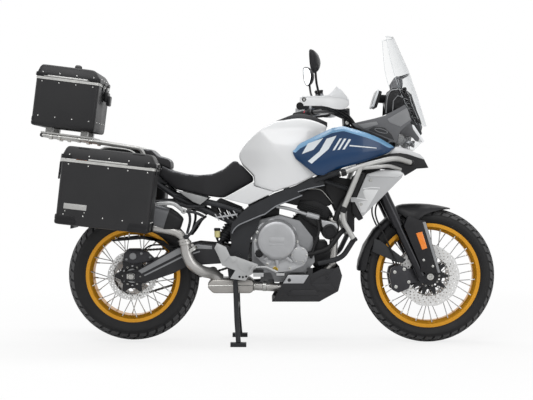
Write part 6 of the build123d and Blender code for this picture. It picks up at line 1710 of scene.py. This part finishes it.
# Printed label stock, blank: a pale satin foil.
foil = finish("blank_label_foil", "#A6A6A4", "#B4B4B2", 0.42, 0.4, patch=20, grain=1, depth=0.01)


def case_frame(x, z, lean, y_left, width):
    """The case's own axes: along its floor, across to the left from its middle, and up its walls."""
    turn = Matrix.Rotation(radians(lean), 4, "Y")
    return Matrix.Translation(MM * Vector((x, y_left - width / 2, z))) @ turn


def rounded_ring(shape, place, u0, u1, half, radius, v):
    """Vertices of a rounded rectangle at a height in a case's own axes, all in millimetres."""
    ring = []
    for cu, cy, start in ((u1 - radius, half - radius, 0), (u0 + radius, half - radius, 90),
                          (u0 + radius, -half + radius, 180), (u1 - radius, -half + radius, 270)):
        for k in range(7):
            turn = radians(start + 15 * k)
            point = Vector((cu + radius * cos(turn), cy + radius * sin(turn), v)) * MM
            ring.append(shape.verts.new(place @ point))
    return ring


def corner_guards(shape, place, length, half, stations, leg_u, leg_y):
    """Four guards that wrap a case's corners: (height, stand-off, share of the legs' length) rows."""
    for end in (0, 1):
        for side in (1, -1):
            rows = []
            for v, off, share in stations:
                radius = CORNER_R + off
                cu = CORNER_R if end == 0 else length - CORNER_R
                flow = -1 if end == 0 else 1
                edge_y = half - CORNER_R
                line = [(cu - flow * leg_u * share, edge_y + radius)]
                line += [(cu + flow * radius * sin(radians(15 * k)), edge_y + radius * cos(radians(15 * k)))
                         for k in range(7)]
                line += [(cu + flow * radius, edge_y - leg_y * share)]
                rows.append([shape.verts.new(place @ (MM * Vector((u, side * y, v)))) for u, y in line])
            faces = []
            for near, far in zip(rows[:-1], rows[1:]):
                for k in range(len(near) - 1):
                    faces.append(shape.faces.new((near[k], near[k + 1], far[k + 1], far[k])))
            bmesh.ops.recalc_face_normals(shape, faces=faces)
            bmesh.ops.solidify(shape, geom=faces, thickness=2.2 * MM)


def box_form(shape, place, low, high, ease=1.5):
    """A pressed block between two corners of a case's own axes, with its edges eased."""
    part = bmesh.new()
    bmesh.ops.create_cube(part, size=1)
    for vert in part.verts:
        vert.co = Vector((low[k] + (high[k] - low[k]) * (vert.co[k] + 0.5)) for k in range(3)) * MM
    bmesh.ops.bevel(part, geom=part.edges[:], offset=ease * MM, segments=2, profile=0.5, affect="EDGES")
    part.transform(place)
    mesh = bpy.data.meshes.new("block")
    part.to_mesh(mesh)
    part.free()
    shape.from_mesh(mesh)
    bpy.data.meshes.remove(mesh)


def arched(shape, place, start, end, rise, wide, thick):
    """A strap or handle that leaves one point, arches over and comes down at another."""
    start, end = Vector(start), Vector(end)
    rings = []
    for k in range(13):
        share = k / 12
        middle = start.lerp(end, share) + Vector((0, 0, rise * (1 - (2 * share - 1) ** 4)))
        slope = atan2(-rise * 8 * (2 * share - 1) ** 3, (end - start).length)
        flow = (end - start).normalized()
        up = Vector((0, 0, cos(slope))) - flow * sin(slope)
        side = flow.cross(Vector((0, 0, 1)))
        ring = []
        for a, b in ((1, 0.4), (0.6, 1), (-0.6, 1), (-1, 0.4), (-1, -0.4), (-0.6, -1), (0.6, -1), (1, -0.4)):
            ring.append(shape.verts.new(place @ (MM * (middle + side * a * wide / 2 + up * b * thick / 2))))
        rings.append(ring)
    lofted(shape, rings, True, True)


for name, lid_body, x, z, lean, y_left, width, length, height, lid_height, rear_slope, front_slope in CASES:
    place = case_frame(x, z, lean, y_left, width)
    half = width / 2 - 3
    top = name == "top_case"
    shape = bmesh.new()
    rings = []
    for v, inset in ((0, 12), (3, 5), (9, 2), (24, 0.5), (height - 1, 0.5), (height - 1, 3), (6, 3), (4, 14)):
        radius = max(CORNER_R - inset * 0.6, 6)
        rings.append(rounded_ring(shape, place, 3 + inset, length - 3 - inset, half - inset, radius, v))
    lofted(shape, rings, True, True)
    shell = make_piece(f"{name}_shell", shape, case_black, smooth=30)
    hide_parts(name)

    high = height + lid_height
    shape = bmesh.new()
    rings = []
    for v, out, share in ((height + 1, 0.5, 0), (height + 14, 0.5, 0), (height + 22, 1.5, 0.10),
                          (high - 13, 5, 0.72), (high - 5, 9, 0.93), (high - 1.5, 14, 1.05),
                          (high - 0.5, 22, 1.2), (high - 3, 24, 1.2), (high - 14, 10, 0.9),
                          (height + 14, 3, 0), (height + 1, 3, 0)):
        radius = max(CORNER_R - out * 0.4, 8)
        rings.append(rounded_ring(shape, place, 3 + out + rear_slope * share,
                                  length - 3 - out - front_slope * share, half - out, radius, v))
    lofted(shape, rings[:7], False, True)
    lofted(shape, rings[7:], True, False)
    for k in range(len(rings[0])):
        j = (k + 1) % len(rings[0])
        shape.faces.new((rings[0][k], rings[-1][k], rings[-1][j], rings[0][j]))
    bmesh.ops.recalc_face_normals(shape, faces=shape.faces)
    lid = make_piece(f"{name}_lid_shell", shape, case_black, lid_body, 32)
    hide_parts(f"{name}_lid")

    # The rim: one rib on the body, and on the lid a taller one between the corner guards.
    shape = bmesh.new()
    rings = []
    for v, out in ((height - 14, -0.2), (height - 13, 1.6), (height - 8.4, 1.6), (height - 7.6, 0.9),
                   (height - 6.8, 1.6), (height - 1.6, 1.6), (height - 0.8, -0.2)):
        rings.append(rounded_ring(shape, place, 3 - out, length - 3 + out, half + out, CORNER_R, v))
    lofted(shape, rings)
    make_piece(f"{name}_rim", shape, bright_rim, smooth=30)
    shape = bmesh.new()
    reach = (0.13, 0.83) if top else (0.29, 0.70)
    for side in (1, -1):
        y0, y1 = sorted((side * (half - 0.5), side * (half + 1.6)))
        box_form(shape, place, (length * reach[0], y0, height + 0.8), (length * reach[1], y1, height + 8), 0.7)
    make_piece(f"{name}_lid_rim", shape, bright_rim, lid_body, 30)

    # Corner guards: low ones with a rolled rib, and tall ones on the lid.
    shape = bmesh.new()
    leg = 62 if top else 96
    rows = [(1, -6, 0.85), (5, 0.5, 1), (12, 2.2, 1), (18, 2.4, 1), (22, 1.2, 1), (27, 2.6, 0.96),
            (40, 2.4, 0.9), (45, 0.6, 0.86)]
    if top:
        rows = [(v, off - 3.8, share) for v, off, share in rows]
    corner_guards(shape, place, length - 3, half, rows, leg - 20, 60)
    make_piece(f"{name}_floor_guards", shape, guard_nylon, smooth=40)
    shape = bmesh.new()
    leg = 38 if top else 30
    rows = [(height + 2, 1.2, 1), (height + 6, 2.2, 1), (height + 14, 2.2, 1), (height + 19, 1.0, 0.96)]
    corner_guards(shape, place, length - 3, half, rows, leg, 44)
    make_piece(f"{name}_lid_guards", shape, guard_nylon, lid_body, 40)

    # Rivets through the sheet into the rim and the guards.
    head = [(-1, 3.4), (0.4, 3.4), (1.5, 2.6), (2.0, 1.2)]
    count = 4 if top else 5
    for part, body, rows in (("body", "chassis", (height - 24, 48)), ("lid", lid_body, (height + 20,))):
        shape = bmesh.new()
        for v in rows:
            for k in range(count):
                share = (k + 0.42) / (count - 0.18)
                for side in (1, -1):
                    spot = place @ (MM * Vector((length * share, side * (half - 0.6), v)))
                    turned(shape, spot / MM, (0, side, 0), head, 10)
            for k in range(3 if not top else 4):
                across = (k + 0.5) / (3 if not top else 4) * 2 - 1
                for u, aim in ((3.2, -1), (length - 3.2, 1)):
                    spot = place @ (MM * Vector((u, across * (half - 26), v)))
                    turned(shape, spot / MM, place.to_3x3() @ Vector((aim, 0, 0)), head, 10)
        make_piece(f"{name}_{part}_rivets", shape, zinc, body, 40)

    # Two over-centre latches at the rear, their keepers on the lid, and hinge barrels at the front.
    shape = bmesh.new()
    keepers = bmesh.new()
    span = 92 if top else 55
    for y in (span, -span):
        box_form(shape, place, (-9, y - 19, height - 74), (4, y + 19, height - 16), 3)
        box_form(shape, place, (-10.5, y - 14, height - 96), (-5, y + 14, height - 62), 3)
        box_form(keepers, place, (-6, y - 17, height + 3), (4, y + 17, height + 20), 2)
    for y in (60, -60):
        turned(shape, place @ (MM * Vector((length + 6, y - 24, height))) / MM, (0, 1, 0),
               [(0, 3), (1, 5), (9, 5), (9.5, 3), (38.5, 3), (39, 5), (47, 5), (48, 3)], 12)
        box_form(shape, place, (length - 4, y - 24, height - 30), (length + 2, y + 24, height - 5), 1)
        turned(keepers, place @ (MM * Vector((length + 6, y - 13, height))) / MM, (0, 1, 0),
               [(0, 5), (26, 5)], 12)
    if top:
        box_form(shape, place, (length + 1, -44, height - 78), (length + 22, 44, height - 30), 6)
        box_form(shape, place, (length + 16, -34, height - 96), (length + 34, 34, height - 46), 6)
    make_piece(f"{name}_latches", shape, guard_nylon)
    make_piece(f"{name}_keepers", keepers, guard_nylon, lid_body)
    shape = bmesh.new()
    for y in (span, -span):
        for dy in (-11, 11):
            start = place @ (MM * Vector((-8, y + dy, height - 66))) / MM
            turned(shape, start, place.to_3x3() @ Vector((0.03, 0, 1)), [(0, 1.6), (76, 1.6)], 8)
    make_piece(f"{name}_latch_wires", shape, zinc)

    # Handles: a moulded loop over the lid, and on a pannier two recessed strap slots beside it.
    shape = bmesh.new()
    if top:
        arched(shape, place, (length * 0.54, 38, high - 3), (length * 0.54, -38, high - 3), 25, 26, 9)
        make_piece(f"{name}_handles", shape, guard_nylon, lid_body, 40)
    else:
        arched(shape, place, (length * 0.36, 0, high - 3), (length * 0.74, 0, high - 3), 16, 24, 7)
        slots = bmesh.new()
        for u0, u1 in ((0.17, 0.29), (0.74, 0.87)):
            for side in (1, -1):
                y0, y1 = sorted((side * (half - 34), side * (half - 6.5)))
                box_form(slots, place, (length * u0, y0, high - 15), (length * u1, y1, high - 3.5), 3)
        make_piece(f"{name}_strap_slots", slots, guard_nylon, lid_body)
        label = bmesh.new()
        side = -1 if name == "right_pannier" else 1
        y0, y1 = sorted((side * (half - 1.5), side * (half + 0.4)))
        box_form(label, place, (36, y0, 74), (140, y1, 99), 0.4)
        for u in (44, 132):
            turned(label, place @ (MM * Vector((u, side * (half - 0.6), 64))) / MM, (0, side, 0),
                   [(-1, 3), (0.6, 2.8), (1.4, 1.6)], 10)
        make_piece(f"{name}_blank_label", label, foil, smooth=30)
        make_piece(f"{name}_handle", shape, bright_rim, lid_body, 40)
